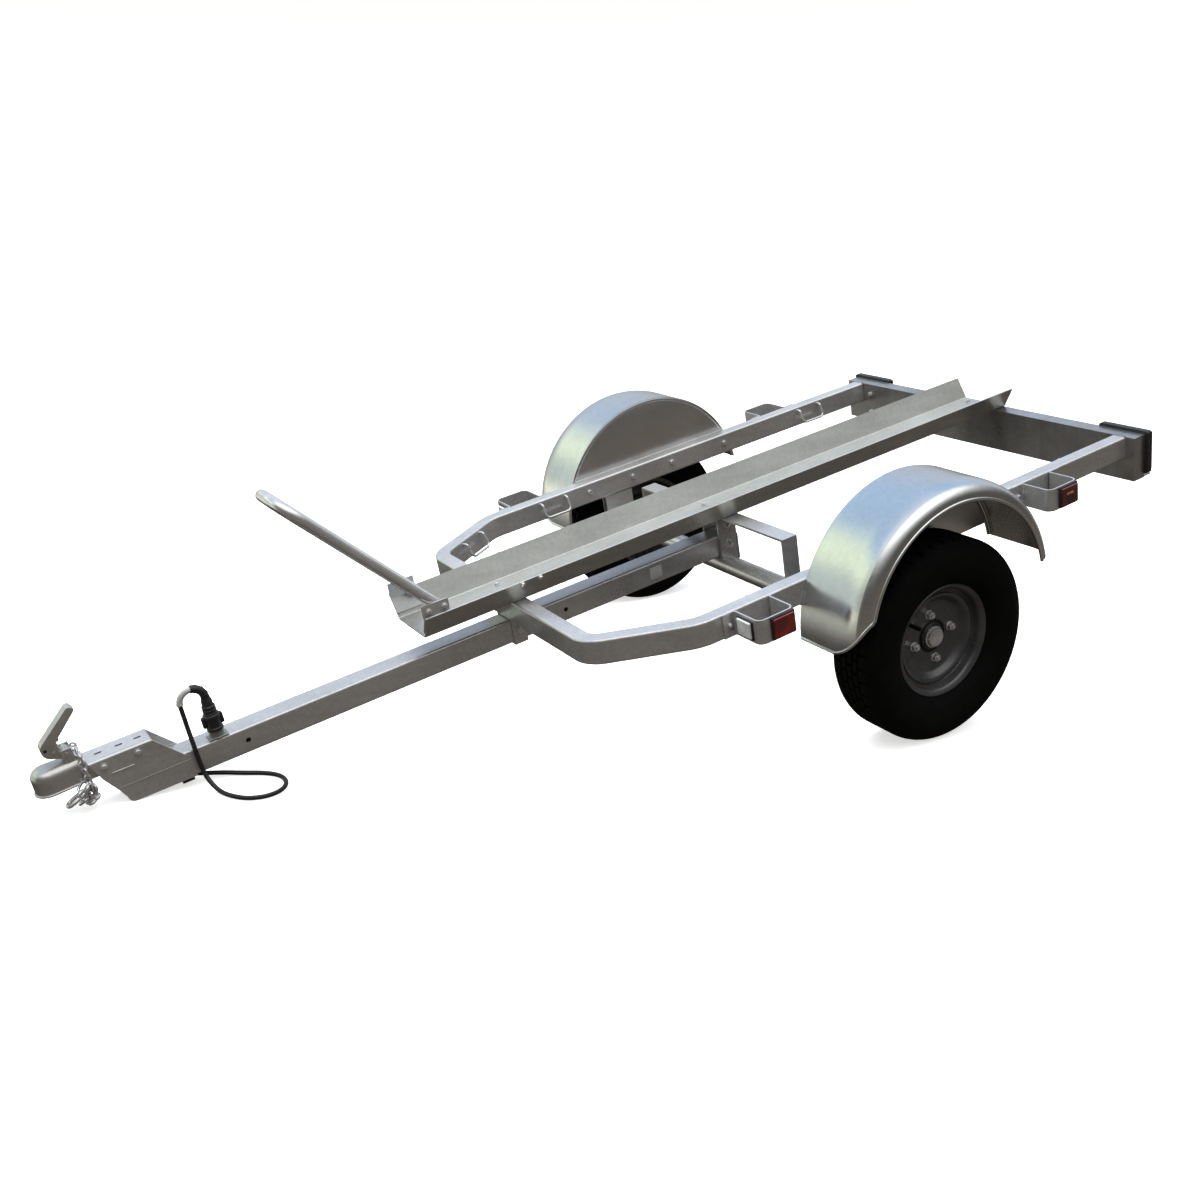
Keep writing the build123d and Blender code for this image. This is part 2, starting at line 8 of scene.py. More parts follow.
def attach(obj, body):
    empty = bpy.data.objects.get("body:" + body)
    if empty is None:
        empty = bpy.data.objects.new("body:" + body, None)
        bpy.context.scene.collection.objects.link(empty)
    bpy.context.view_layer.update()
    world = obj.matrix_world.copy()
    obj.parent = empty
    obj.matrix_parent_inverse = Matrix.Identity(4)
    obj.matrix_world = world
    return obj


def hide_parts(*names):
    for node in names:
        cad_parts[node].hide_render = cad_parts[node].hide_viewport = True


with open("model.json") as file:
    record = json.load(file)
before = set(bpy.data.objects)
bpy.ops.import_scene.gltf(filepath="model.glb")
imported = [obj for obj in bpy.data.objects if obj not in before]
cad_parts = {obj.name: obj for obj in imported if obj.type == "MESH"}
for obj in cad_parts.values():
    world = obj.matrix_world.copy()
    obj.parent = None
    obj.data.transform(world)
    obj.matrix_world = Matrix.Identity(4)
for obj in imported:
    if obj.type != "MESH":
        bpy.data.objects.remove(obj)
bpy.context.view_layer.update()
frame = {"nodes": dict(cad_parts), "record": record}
nodes = frame["nodes"]
print("frame loaded with", len(nodes), "nodes")

# level frame of the trailer: x ahead of the torsion beam, y left, z up from the drawbar's underside
mounts = {m["name"]: m for m in frame["record"]["mounts"]}
floorTop = 0.123  # channel floor above the drawbar's underside
levelUp = Vector(mounts["channel_floor"]["axis"]).normalized()
levelLeft = Vector((0, 1, 0))
levelAhead = levelLeft.cross(levelUp)
levelOrigin = Vector(mounts["channel_floor"]["pos_m"]) - levelUp * floorTop
parked = Matrix((levelAhead, levelLeft, levelUp)).transposed().to_4x4()
parked.translation = levelOrigin
mm = 0.001


# materials
def newMaterial(name):
    mat = bpy.data.materials.new(name)
    mat.use_nodes = True
    tree = mat.node_tree
    return mat, tree, tree.nodes["Principled BSDF"]


def addNode(tree, kind, **settings):
    node = tree.nodes.new(kind)
    for key, value in settings.items():
        if key in node.inputs:
            node.inputs[key].default_value = value
        else:
            setattr(node, key, value)
    return node


def objectSpace(tree, scale=(1, 1, 1)):
    coords = addNode(tree, "ShaderNodeTexCoord")
    mapping = addNode(tree, "ShaderNodeMapping")
    mapping.inputs["Scale"].default_value = scale
    tree.links.new(coords.outputs["Object"], mapping.inputs["Vector"])
    return mapping.outputs["Vector"]


def noiseAt(tree, vector, scale, detail=3.0, rough=0.55):
    noise = addNode(tree, "ShaderNodeTexNoise", Scale=scale, Detail=detail, Roughness=rough)
    tree.links.new(vector, noise.inputs["Vector"])
    return noise.outputs["Fac"]


def ramp(tree, source, stops):
    node = addNode(tree, "ShaderNodeValToRGB")
    band = node.color_ramp
    while len(band.elements) < len(stops):
        band.elements.new(0.5)
    for element, (place, colour) in zip(band.elements, stops):
        element.position = place
        element.color = (*colour, 1)
    tree.links.new(source, node.inputs["Fac"])
    return node.outputs["Color"]


def spread(tree, source, low, high):
    node = addNode(tree, "ShaderNodeMapRange")
    node.inputs["To Min"].default_value = low
    node.inputs["To Max"].default_value = high
    tree.links.new(source, node.inputs["Value"])
    return node.outputs["Result"]


def blendColour(tree, a, b, share, kind="MIX"):
    node = addNode(tree, "ShaderNodeMix", data_type="RGBA", blend_type=kind)
    if isinstance(share, float):
        node.inputs["Factor"].default_value = share
    else:
        tree.links.new(share, node.inputs["Factor"])
    tree.links.new(a, node.inputs["A"])
    tree.links.new(b, node.inputs["B"])
    return node.outputs["Result"]


def bumpFrom(tree, bsdf, height, strength, distance):
    bump = addNode(tree, "ShaderNodeBump", Strength=strength, Distance=distance)
    tree.links.new(height, bump.inputs["Height"])
    tree.links.new(bump.outputs["Normal"], bsdf.inputs["Normal"])


plainWhite = (1.0, 1.0, 1.0)
zincLook = dict(patches=7.0, detail=4.0, tones=(0.3, 0.7), grain=420.0, grainStrength=0.12, grainDepth=0.0006,
                rolled=((0.3, (0.88, 0.88, 0.88)), (0.65, plainWhite)))


def zincFinish(name, dark, light, rough, metal, spangle=150.0, streak=(2.0, 40.0, 40.0),
               fleck=0.86, vary=0.1, look=zincLook):
    mat, tree, bsdf = newMaterial(name)
    flat = objectSpace(tree)
    patches = noiseAt(tree, flat, look["patches"], look["detail"])
    cells = addNode(tree, "ShaderNodeTexVoronoi", Scale=spangle)
    tree.links.new(flat, cells.inputs["Vector"])
    lines = noiseAt(tree, objectSpace(tree, streak), 1.0, look["detail"])
    tone = ramp(tree, patches, list(zip(look["tones"], (dark, light))))
    darkFleck = (fleck, fleck, fleck + 0.01)  # a trace of blue
    grain = ramp(tree, cells.outputs["Color"], [(0.0, darkFleck), (1.0, plainWhite)])
    rolled = ramp(tree, lines, look["rolled"])
    mottled = blendColour(tree, tone, grain, 1.0, "MULTIPLY")
    tree.links.new(blendColour(tree, mottled, rolled, 1.0, "MULTIPLY"), bsdf.inputs["Base Color"])
    tree.links.new(spread(tree, patches, rough - vary, rough + vary), bsdf.inputs["Roughness"])
    bsdf.inputs["Metallic"].default_value = metal
    bumpFrom(tree, bsdf, noiseAt(tree, flat, look["grain"]), look["grainStrength"], look["grainDepth"])
    return mat


mouldedLook = dict(dust=22.0, detail=4.0, tones=(0.35, 0.75), vary=0.08, grainDepth=0.0004)


def mouldedFinish(name, dark, light, rough, grain=900.0, lift=0.25, shine=0.5, look=mouldedLook):
    mat, tree, bsdf = newMaterial(name)
    flat = objectSpace(tree)
    dust = noiseAt(tree, flat, look["dust"], look["detail"])
    tree.links.new(ramp(tree, dust, list(zip(look["tones"], (dark, light)))), bsdf.inputs["Base Color"])
    tree.links.new(spread(tree, dust, rough - look["vary"], rough + look["vary"]), bsdf.inputs["Roughness"])
    bsdf.inputs["Specular IOR Level"].default_value = shine
    bumpFrom(tree, bsdf, noiseAt(tree, flat, grain), lift, look["grainDepth"])
    return mat


lensLook = dict(prisms=260.0, prismStrength=0.35, prismDepth=0.001, glow=30.0, detail=2.0, tones=(0.35, 0.7),
                rough=(0.1, 0.2), coat=0.6, coatRough=0.05)


def lensFinish(name, deep, bright, look=lensLook):
    mat, tree, bsdf = newMaterial(name)
    flat = objectSpace(tree)
    prisms = addNode(tree, "ShaderNodeTexVoronoi", Scale=look["prisms"], feature="SMOOTH_F1")
    tree.links.new(flat, prisms.inputs["Vector"])
    glow = noiseAt(tree, flat, look["glow"], look["detail"])
    tree.links.new(ramp(tree, glow, list(zip(look["tones"], (deep, bright)))), bsdf.inputs["Base Color"])
    tree.links.new(spread(tree, glow, *look["rough"]), bsdf.inputs["Roughness"])
    bsdf.inputs["Coat Weight"].default_value = look["coat"]
    bsdf.inputs["Coat Roughness"].default_value = look["coatRough"]
    bumpFrom(tree, bsdf, prisms.outputs["Distance"], look["prismStrength"], look["prismDepth"])
    return mat


galvanised = zincFinish("galvanisedTube", (0.60, 0.60, 0.60), (0.72, 0.72, 0.73), 0.29, 0.7)
fenderZinc = zincFinish("fenderSheet", (0.74, 0.75, 0.75), (0.82, 0.83, 0.83), 0.25, 1.0,
                        spangle=110.0, streak=(3.0, 3.0, 3.0), fleck=0.93, vary=0.05)
channelZinc = zincFinish("channelSheet", (0.50, 0.51, 0.49), (0.60, 0.61, 0.59), 0.34, 0.75)
# a darker copy of the galvanised finish for the rear member: painted shade for the shadow it sits in; its
# streaks are light scratches
memberZincShaded = zincFinish("memberSheetShaded", (0.44, 0.43, 0.43), (0.64, 0.63, 0.63), 0.3, 0.92,
                        streak=(14.0, 60.0, 3.0))
brightZinc = zincFinish("brightZinc", (0.74, 0.74, 0.75), (0.85, 0.85, 0.86), 0.2, 0.75, spangle=300.0)
couplingZinc = zincFinish("couplingZinc", (0.50, 0.50, 0.48), (0.64, 0.64, 0.62), 0.3, 0.75, spangle=260.0)
weldZinc = zincFinish("weldZinc", (0.40, 0.40, 0.40), (0.58, 0.58, 0.58), 0.42, 1.0, spangle=500.0)
rimPaint = mouldedFinish("rimPaint", (0.040, 0.039, 0.043), (0.062, 0.060, 0.066), 0.28,
                         grain=500.0, lift=0.1, shine=0.8)
hubPaint = mouldedFinish("hubPaint", (0.010, 0.010, 0.010), (0.022, 0.022, 0.022), 0.45,
                         grain=300.0, lift=0.15)
tyreRubber = mouldedFinish("tyreRubber", (0.0018, 0.0018, 0.0018), (0.0045, 0.0045, 0.0045), 0.85,
                           grain=700.0, shine=0.12)
lampPlastic = mouldedFinish("lampPlastic", (0.012, 0.012, 0.013), (0.024, 0.024, 0.026), 0.42)
cableSheath = mouldedFinish("cableSheath", (0.008, 0.008, 0.008), (0.018, 0.018, 0.018), 0.42)
sleeveGrey = mouldedFinish("sleeveGrey", (0.42, 0.42, 0.41), (0.58, 0.58, 0.57), 0.45)
holderPlastic = mouldedFinish("holderPlastic", (0.13, 0.135, 0.13), (0.22, 0.225, 0.215), 0.35)
# near-black finish painted as the shade inside the nose slots and the handle's holes
slotShade = mouldedFinish("slotShade", (0.010, 0.010, 0.011), (0.020, 0.020, 0.021), 0.7)
plateBlank = mouldedFinish("plateBlank", (0.46, 0.455, 0.44), (0.58, 0.575, 0.56), 0.38,
                           grain=600.0, lift=0.1)
lensRed = lensFinish("lensRed", (0.10, 0.004, 0.004), (0.30, 0.012, 0.009))
lensAmber = lensFinish("lensAmber", (0.30, 0.07, 0.010), (0.62, 0.17, 0.025))
# a darker copy of the amber lens for the rear marker lamps: painted shade
lensAmberShaded = lensFinish("lensAmberShaded", (0.035, 0.006, 0.004), (0.13, 0.022, 0.010))
# painted highlight colour for the bright bar in each rear marker lens
lensHighlight = lensFinish("lensHighlight", (0.50, 0.12, 0.05), (0.80, 0.26, 0.12))
lensWhite = lensFinish("lensWhite", (0.62, 0.63, 0.66), (0.85, 0.86, 0.88))

slotFinish = {
    "galvanised": galvanised,
    "bright_zinc": brightZinc,
    "rim_grey": rimPaint,
    "hub_black": hubPaint,
    "tyre_black": tyreRubber,
    "lamp_black": lampPlastic,
    "lens_red": lensRed,
    "lens_amber": lensAmber,
    "lens_white": lensWhite,
    "cable_black": cableSheath,
    "holder_grey": holderPlastic,
}
ownFinish = {
    "moto_channel": channelZinc,
    "rear_member": memberZincShaded,
    "left_fender": fenderZinc,
    "right_fender": fenderZinc,
    "wheel_hoop": brightZinc,
    "coupling_head": couplingZinc,
    "coupling_handle": couplingZinc,
    # the rear marker amber lenses take the painted-shade copy of the amber lens
    "left_rear_amber_lens": lensAmberShaded,
    "right_rear_amber_lens": lensAmberShaded,
}
for part in frame["record"]["subparts"]:
    name = part["node"]
    nodes[name].data.materials.clear()
    nodes[name].data.materials.append(ownFinish.get(name, slotFinish[part["material_slot"]]))
print("finishes set")

# camera at the photograph's place
photoCamera = dict(eye=(1.6323, 2.5965, 1.2698), aim=(0.0248, 0.0244, 0.2498), roll=0.73, lens=38.67,
                   sensor=36)


def placeCamera(spec):
    data = bpy.data.cameras.new("photoCamera")
    data.lens = spec["lens"]
    data.sensor_width = spec["sensor"]
    camera = bpy.data.objects.new("photoCamera", data)
    eye = Vector(spec["eye"])
    turn = (Vector(spec["aim"]) - eye).to_track_quat("-Z", "Y").to_matrix()
    turn = turn @ Matrix.Rotation(math.radians(spec["roll"]), 3, "Z")
    camera.matrix_world = Matrix.Translation(eye) @ turn.to_4x4()
    bpy.context.scene.collection.objects.link(camera)
    bpy.context.scene.camera = camera


placeCamera(photoCamera)


# shared steps for the modelled pieces; places are level-frame millimetres, meshes are metres
mergeWithin = 0.000005


def facing(spot, way):
    turn = Vector((0, 0, 1)).rotation_difference(Vector(way)).to_matrix().to_4x4()
    return Matrix.Translation(Vector(spot) * mm) @ turn


def finishPiece(name, bm, finish, body="trailer", sharp=32, place=parked):
    bmesh.ops.remove_doubles(bm, verts=bm.verts, dist=mergeWithin)
    bm.transform(place)
    bmesh.ops.recalc_face_normals(bm, faces=bm.faces)
    mesh = bpy.data.meshes.new(name)
    bm.to_mesh(mesh)
    bm.free()
    mesh.materials.append(finish)
    mesh.shade_smooth()
    mesh.set_sharp_from_angle(angle=math.radians(sharp))
    piece = bpy.data.objects.new(name, mesh)
    bpy.context.scene.collection.objects.link(piece)
    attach(piece, body)
    return piece


def edgesOf(verts):
    return list({edge for vert in verts for edge in vert.link_edges})


def ofKind(items, kind):
    return [item for item in items if isinstance(item, kind)]


def loopAmong(items, verts):
    return [edge for edge in ofKind(items, bmesh.types.BMEdge) if set(edge.verts) <= set(verts)]


def roundEdges(bm, edges, rounding, segments=2):
    bmesh.ops.bevel(bm, geom=edges, offset=rounding * mm, offset_type="OFFSET", segments=segments,
                    profile=0.5, affect="EDGES", material=-1, clamp_overlap=True)


def addBox(bm, low, high, rounding=0.0, segments=2):
    low, high = Vector(low) * mm, Vector(high) * mm
    stretch = Matrix.Diagonal((*(high - low), 1))
    made = bmesh.ops.create_cube(bm, size=1, matrix=Matrix.Translation((low + high) / 2) @ stretch)
    if rounding:
        roundEdges(bm, edgesOf(made["verts"]), rounding, segments)


def addDisc(bm, at, radius, tall, chamfer=0.0, segments=24):
    made = bmesh.ops.create_cone(bm, cap_ends=True, segments=segments, depth=tall * mm,
                                 radius1=radius * mm, radius2=radius * mm,
                                 matrix=at @ Matrix.Translation((0, 0, tall * mm / 2)))
    if chamfer:
        back = at.inverted()
        top = {vert for vert in made["verts"] if (back @ vert.co).z > tall * mm / 2}
        roundEdges(bm, loopAmong(edgesOf(top), top), chamfer)


def spinProfile(bm, points, axis, steps, closed=True):
    verts = [bm.verts.new(point) for point in points]
    pairs = list(zip(verts, verts[1:])) + ([(verts[-1], verts[0])] if closed else [])
    edges = [bm.edges.new(pair) for pair in pairs]
    bmesh.ops.spin(bm, geom=verts + edges, cent=(0, 0, 0), axis=axis, angle=2 * math.pi, steps=steps,
                   use_merge=True)


def arcThrough(first, middle, last, steps):
    (ax, ay), (bx, by), (cx, cy) = first, middle, last
    d = 2 * (ax * (by - cy) + bx * (cy - ay) + cx * (ay - by))
    a2, b2, c2 = ax * ax + ay * ay, bx * bx + by * by, cx * cx + cy * cy
    ux = (a2 * (by - cy) + b2 * (cy - ay) + c2 * (ay - by)) / d
    uy = (a2 * (cx - bx) + b2 * (ax - cx) + c2 * (bx - ax)) / d
    start = math.atan2(ay - uy, ax - ux)
    sweep = math.atan2(cy - uy, cx - ux) - start
    sweep = (sweep + math.pi) % (2 * math.pi) - math.pi
    r = math.hypot(ax - ux, ay - uy)
    turns = [start + sweep * i / steps for i in range(steps + 1)]
    return [(ux + r * math.cos(t), uy + r * math.sin(t)) for t in turns]


def addLink(bm, at, length, width, wire, segments=8, turns=8):
    run = (length - width) / 2 * mm
    reach = width / 2 * mm - wire * mm
    start = at @ Matrix.Translation((reach, -run, 0)) @ Matrix.Rotation(math.pi / 2, 4, "X")
    ring = bmesh.ops.create_circle(bm, segments=segments, radius=wire * mm, matrix=start)
    axis = at.to_3x3() @ Vector((0, 0, 1))
    step = at.to_3x3() @ Vector((0, 2 * run, 0))
    loop = edgesOf(ring["verts"])
    for way in (1, -1):
        grown = bmesh.ops.extrude_edge_only(bm, edges=loop)["geom"]
        verts = ofKind(grown, bmesh.types.BMVert)
        bmesh.ops.translate(bm, verts=verts, vec=step * way)
        loop = loopAmong(grown, verts)
        spun = bmesh.ops.spin(bm, geom=verts + loop, cent=at @ Vector((0, run * way, 0)), axis=axis,
                              angle=math.pi, steps=turns)["geom_last"]
        loop = ofKind(spun, bmesh.types.BMEdge)


def addTube(bm, path, radius, segments=10):
    spots = [Vector(spot) for spot in path]
    before = None
    for index, spot in enumerate(spots):
        way = spots[min(index + 1, len(spots) - 1)] - spots[max(index - 1, 0)]
        made = bmesh.ops.create_circle(bm, segments=segments, radius=radius * mm, matrix=facing(spot, way))
        loop = edgesOf(made["verts"])
        if before:
            bmesh.ops.bridge_loops(bm, edges=before + loop)
        else:
            bmesh.ops.contextual_create(bm, geom=loop)
        before = loop
    bmesh.ops.contextual_create(bm, geom=before)


def addWeld(bm, start, end, radius, pitch=4.0, neck=0.7, swell=1.35, segments=8):
    start, end = Vector(start) * mm, Vector(end) * mm
    way = end - start
    count = max(3, round(way.length / (pitch * mm)))
    made = bmesh.ops.create_circle(bm, cap_ends=True, segments=segments, radius=radius * mm * neck,
                                   matrix=facing(start / mm, way))
    loop = edgesOf(made["verts"])
    for index in range(count):
        grown = bmesh.ops.extrude_edge_only(bm, edges=loop)["geom"]
        verts = ofKind(grown, bmesh.types.BMVert)
        bmesh.ops.translate(bm, verts=verts, vec=way / count)
        middle = sum((vert.co for vert in verts), Vector()) / len(verts)
        grow = swell if index % 2 == 0 else 1 / swell
        bmesh.ops.scale(bm, verts=verts, vec=(grow, grow, grow), space=Matrix.Translation(-middle))
        loop = loopAmong(grown, verts)
    bmesh.ops.contextual_create(bm, geom=loop)


# lighting cable: from the plug's sleeve to the ground, round a bow, up to the gland
cable = dict(
    radius=0.005, length=0.624, order=3, smooth=12, roundness=5,
    route=[
        (1.0566, 0.014, 0.1838), (1.0500, 0.021, 0.1464), (1.0419, 0.041, 0.0970), (1.0326, 0.046, 0.0520),
        (1.0237, 0.058, 0.0232), (1.0098, 0.086, 0.0054), (0.9975, 0.118, 0.0054), (0.9710, 0.150, 0.0054),
        (0.9312, 0.162, 0.0054), (0.8934, 0.150, 0.0054), (0.8710, 0.118, 0.0054), (0.8730, 0.080, 0.0054),
        (0.8995, 0.051, 0.0054), (0.9383, 0.030, 0.0054), (0.9863, 0.009, 0.0104), (1.0407, 0.000, 0.0166),
    ],
)


def layCable(spec):
    curve = bpy.data.curves.new("lightingCable", "CURVE")
    curve.dimensions = "3D"
    curve.bevel_depth = spec["radius"]
    curve.bevel_resolution = spec["roundness"]
    curve.resolution_u = spec["smooth"]
    curve.use_fill_caps = True
    spline = curve.splines.new("NURBS")
    spline.points.add(len(spec["route"]) - 1)
    for point, place in zip(spline.points, spec["route"]):
        point.co = (*place, 1)
    spline.order_u = spec["order"]
    spline.use_endpoint_u = True
    curve.materials.append(cableSheath)
    cord = bpy.data.objects.new("lightingCable", curve)
    bpy.context.scene.collection.objects.link(cord)
    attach(cord, "trailer")
    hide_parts("cable")
    return cord


# plug: ribbed body with two latch ears in a round cup; its boot bends over into a grey sleeve
plug = dict(
    x=1358, y=14, foot=60, bend=27, bendSteps=12, bendSides=16, cuff=158, bodySteps=28, cupSteps=32,
    boot=dict(radius=9.0, turn=(0, 86), ribs=(12, 36, 60)),
    sleeve=dict(radius=7.0, turn=(80, 180), ribs=(172,)),
    rib=dict(proud=0.9, tall=3.0, edge=0.6),
    profile=[(0, 78.2), (18, 78.2), (18, 84), (16.2, 86), (15.8, 106), (18.5, 107), (18.5, 114), (15.2, 116),
             (15.2, 119), (13.8, 120), (13.8, 123), (15.0, 124), (15.0, 127), (13.4, 128), (13.4, 131),
             (14.6, 132), (14.6, 135), (12.2, 137), (11.8, 149), (10.0, 152), (9.6, 158.5), (0, 158.5)],
    cup=[(0, 60.2), (17.5, 60.2), (17.5, 63), (15.8, 64.5), (15.8, 74), (17.2, 75.5), (17.2, 78), (0, 78)],
    base=dict(long=22, wide=16, thick=2.5, rounding=0.8),
    ear=dict(out=19, long=4, wide=6, z=(88, 112), rounding=1.5),
)


def onBend(spec, a):
    return (spec["bend"] * (1 - math.cos(a)), 0, spec["cuff"] + spec["bend"] * math.sin(a))


def addBend(bm, spec, hose):
    first, last = hose["turn"]
    steps, sides, rib = spec["bendSteps"], spec["bendSides"], spec["rib"]
    turns = [math.radians(first + (last - first) * step / steps) for step in range(steps + 1)]
    addTube(bm, [onBend(spec, a) for a in turns], hose["radius"], sides)
    for turn in hose["ribs"]:  # shallow ribs round the bend
        a = math.radians(turn)
        at = facing(onBend(spec, a), (math.sin(a), 0, math.cos(a)))
        addDisc(bm, at, hose["radius"] + rib["proud"], rib["tall"], rib["edge"], sides)


def buildPlug(spec):
    stand = parked @ Matrix.Translation((spec["x"] * mm, spec["y"] * mm, 0))
    bm = bmesh.new()
    spinProfile(bm, [(r * mm, 0, z * mm) for r, z in spec["profile"]], (0, 0, 1), spec["bodySteps"],
                closed=False)
    ear = spec["ear"]
    for side in (-1, 1):
        middle = side * ear["out"]
        addBox(bm, (middle - ear["long"], -ear["wide"], ear["z"][0]),
               (middle + ear["long"], ear["wide"], ear["z"][1]), ear["rounding"])
    addBend(bm, spec, spec["boot"])
    body = finishPiece("plugBody", bm, lampPlastic, place=stand)
    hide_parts("plug")
    bm = bmesh.new()
    addBend(bm, spec, spec["sleeve"])
    sleeve = finishPiece("plugSleeve", bm, sleeveGrey, place=stand)
    bm = bmesh.new()
    spinProfile(bm, [(r * mm, 0, z * mm) for r, z in spec["cup"]], (0, 0, 1), spec["cupSteps"], closed=False)
    base = spec["base"]
    addBox(bm, (-base["long"], -base["wide"], spec["foot"]),
           (base["long"], base["wide"], spec["foot"] + base["thick"]), base["rounding"])
    cup = finishPiece("plugCup", bm, holderPlastic, place=stand)
    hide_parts("plug_holder")
    return [body, sleeve]


plugPieces = buildPlug(plug)
cord = layCable(cable)
print("plug and cable laid")

# wheels, built about the axle with y pointing out, then set on each hub
wheel = dict(x=-140, y=606, z=-98)
tyre = dict(
    outer=0.2448, tread=0.0405, bead=(0.1373, 0.0485), inner=(0.1292, 0.0450), steps=180,
    wall=(0.185, 0.0748), wallSteps=14, edge=(0.231, 0.0650), shoulder=(0.2408, 0.0548), shoulderSteps=6,
    grooves=(0.0270, 0.0090, -0.0090, -0.0270), grooveWide=0.0056, grooveDeep=0.0065, grooveTaper=0.001,
    sipeEvery=4, sipeShift=2, sipeDeep=0.0045, sipeRim=0.0011, sipeHalf=0.056,
    rings=(3, 4, 11), ringHigh=0.0013,
)
rim = dict(
    steps=72,
    profile=[(136.5, 49.5), (134.5, 51), (130, 49), (126.5, 46.5), (123.5, 44), (121.5, 38), (121, 31),
             (119.5, 27.5), (116.5, 27.4), (114.8, 24.4), (111, 24.6), (109.2, 28.4), (103, 28.2),
             (101, 27.2), (97, 23.5), (90.5, 14.5), (86, 11.6), (64, 11.2), (50, 12.4), (42, 12.2),
             (40.2, 11), (40.2, 7.4), (86, 7.2), (101, 22), (117, 22.5), (120.5, 18), (120.5, -30),
             (123, -46), (127, -48.5), (134.5, -50.8), (136.5, -49.3), (134.5, -47.5), (128.6, -45.5),
             (128.6, 45.5), (134.5, 47.5)],
)
hub = dict(
    core=[(15.6, -50), (36.5, -50), (38, -48.5), (38, -3), (72.5, -3), (74, -1.5), (74, 5.5), (72.5, 7),
          (36, 7), (34.5, 8.2), (34, 13), (31.5, 15.2), (15.6, 15.2)],
    cap=[(0, 15.5), (26, 15.5), (26.2, 19), (24.6, 19.6), (23.4, 19.8), (23.2, 24), (22, 26.8), (19, 28),
         (17.5, 27.2), (0, 27.2)],
    steps=48, studs=115, studCount=4, phase=5, seat=11.2,
    washer=dict(radius=11.5, tall=1.2, edge=0.5),
    nut=dict(across=17.5, tall=10, edge=1.6, sides=6),
    tip=dict(radius=5.6, tall=4.5, edge=1.2, sides=16),
)
# valve profile: radius, and height above the rim's groove
valve = dict(
    angle=39, radius=113, base=27.5, lean=12, steps=16,
    profile=[(0, -3), (8.5, -3), (7.9, 0), (5.5, 3), (4.2, 20.5), (5.1, 21.5), (5.1, 33), (4.2, 34.5),
             (0, 34.5)],
)


def buildTyre(side, place, spec):
    outer, taper = spec["outer"], spec["grooveTaper"]
    wall = arcThrough(spec["bead"], spec["wall"], spec["edge"], spec["wallSteps"])
    wall = [(r, y + (spec["ringHigh"] if i in spec["rings"] else 0)) for i, (r, y) in enumerate(wall)]
    shoulder = arcThrough(spec["edge"], spec["shoulder"], (outer, spec["tread"]), spec["shoulderSteps"])
    left = [spec["inner"]] + wall + shoulder[1:]
    tread = []
    for groove in spec["grooves"]:
        a, b = groove + spec["grooveWide"] / 2, groove - spec["grooveWide"] / 2
        deep = outer - spec["grooveDeep"]
        tread += [(outer, a), (deep, a - taper), (deep, b + taper), (outer, b)]
    points = left + tread + [(r, -y) for r, y in reversed(left)]
    bm = bmesh.new()
    spinProfile(bm, [(r, y, 0) for r, y in points], (0, 1, 0), spec["steps"])
    lateral = []
    for face in bm.faces:  # cross cuts through the ribs and out over the shoulders
        spot = face.calc_center_median()
        if math.hypot(spot.x, spot.z) < outer - spec["sipeDeep"] or abs(spot.y) > spec["sipeHalf"]:
            continue
        if any(abs(spot.y - groove) < spec["grooveWide"] / 2 for groove in spec["grooves"]):
            continue
        step = math.floor((math.atan2(spot.z, spot.x) / (2 * math.pi) + 0.5) * spec["steps"])
        rib = sum(spot.y < groove for groove in spec["grooves"])
        if (step + spec["sipeShift"] * (rib % 2)) % spec["sipeEvery"] == 0:
            lateral.append(face)
    bmesh.ops.inset_region(bm, faces=lateral, thickness=spec["sipeRim"], depth=-spec["sipeDeep"],
                           use_boundary=True, use_even_offset=True)
    piece = finishPiece(side + "TyreTread", bm, tyreRubber, side + "_wheel", 40, place)
    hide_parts(side + "_tyre")


def buildRim(side, place, spec):
    bm = bmesh.new()
    spinProfile(bm, [(r * mm, y * mm, 0) for r, y in spec["profile"]], (0, 1, 0), spec["steps"])
    piece = finishPiece(side + "RimSteps", bm, rimPaint, side + "_wheel", 50, place)
    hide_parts(side + "_rim")


def buildHub(side, place, spec):
    bm = bmesh.new()
    spinProfile(bm, [(r * mm, y * mm, 0) for r, y in spec["core"]], (0, 1, 0), spec["steps"])
    core = finishPiece(side + "HubCore", bm, hubPaint, side + "_wheel", 35, place)
    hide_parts(side + "_hub")
    bm = bmesh.new()
    spinProfile(bm, [(r * mm, y * mm, 0) for r, y in spec["cap"]], (0, 1, 0), spec["steps"], closed=False)
    finishPiece(side + "DustCap", bm, brightZinc, side + "_wheel", 35, place)
    washer, nut, tip = spec["washer"], spec["nut"], spec["tip"]
    girth = nut["across"] / math.sqrt(3)
    out = (0, 1, 0)
    bm = bmesh.new()
    for stud in range(spec["studCount"]):
        a = math.radians(-spec["phase"] - 360 / spec["studCount"] * stud)
        x, y, z = spec["studs"] / 2 * math.cos(a), spec["seat"], spec["studs"] / 2 * math.sin(a)
        addDisc(bm, facing((x, y, z), out), washer["radius"], washer["tall"], washer["edge"])
        y += washer["tall"]
        addDisc(bm, facing((x, y, z), out), girth, nut["tall"], nut["edge"], nut["sides"])
        y += nut["tall"]
        addDisc(bm, facing((x, y, z), out), tip["radius"], tip["tall"], tip["edge"], tip["sides"])
    finishPiece(side + "WheelNuts", bm, brightZinc, side + "_wheel", 30, place)


def buildValve(side, place, spec):
    a = math.radians(spec["angle"])
    lean = spec["lean"] / spec["profile"][-1][1]  # tip drawn in towards the axle
    bm = bmesh.new()
    spinProfile(bm, [(r * mm, 0, z * mm) for r, z in spec["profile"]], (0, 0, 1), spec["steps"], closed=False)
    way = (-lean * math.cos(a), 1, -lean * math.sin(a))
    bm.transform(facing((spec["radius"] * math.cos(a), spec["base"], spec["radius"] * math.sin(a)), way))
    finishPiece(side + "Valve", bm, tyreRubber, side + "_wheel", 35, place)


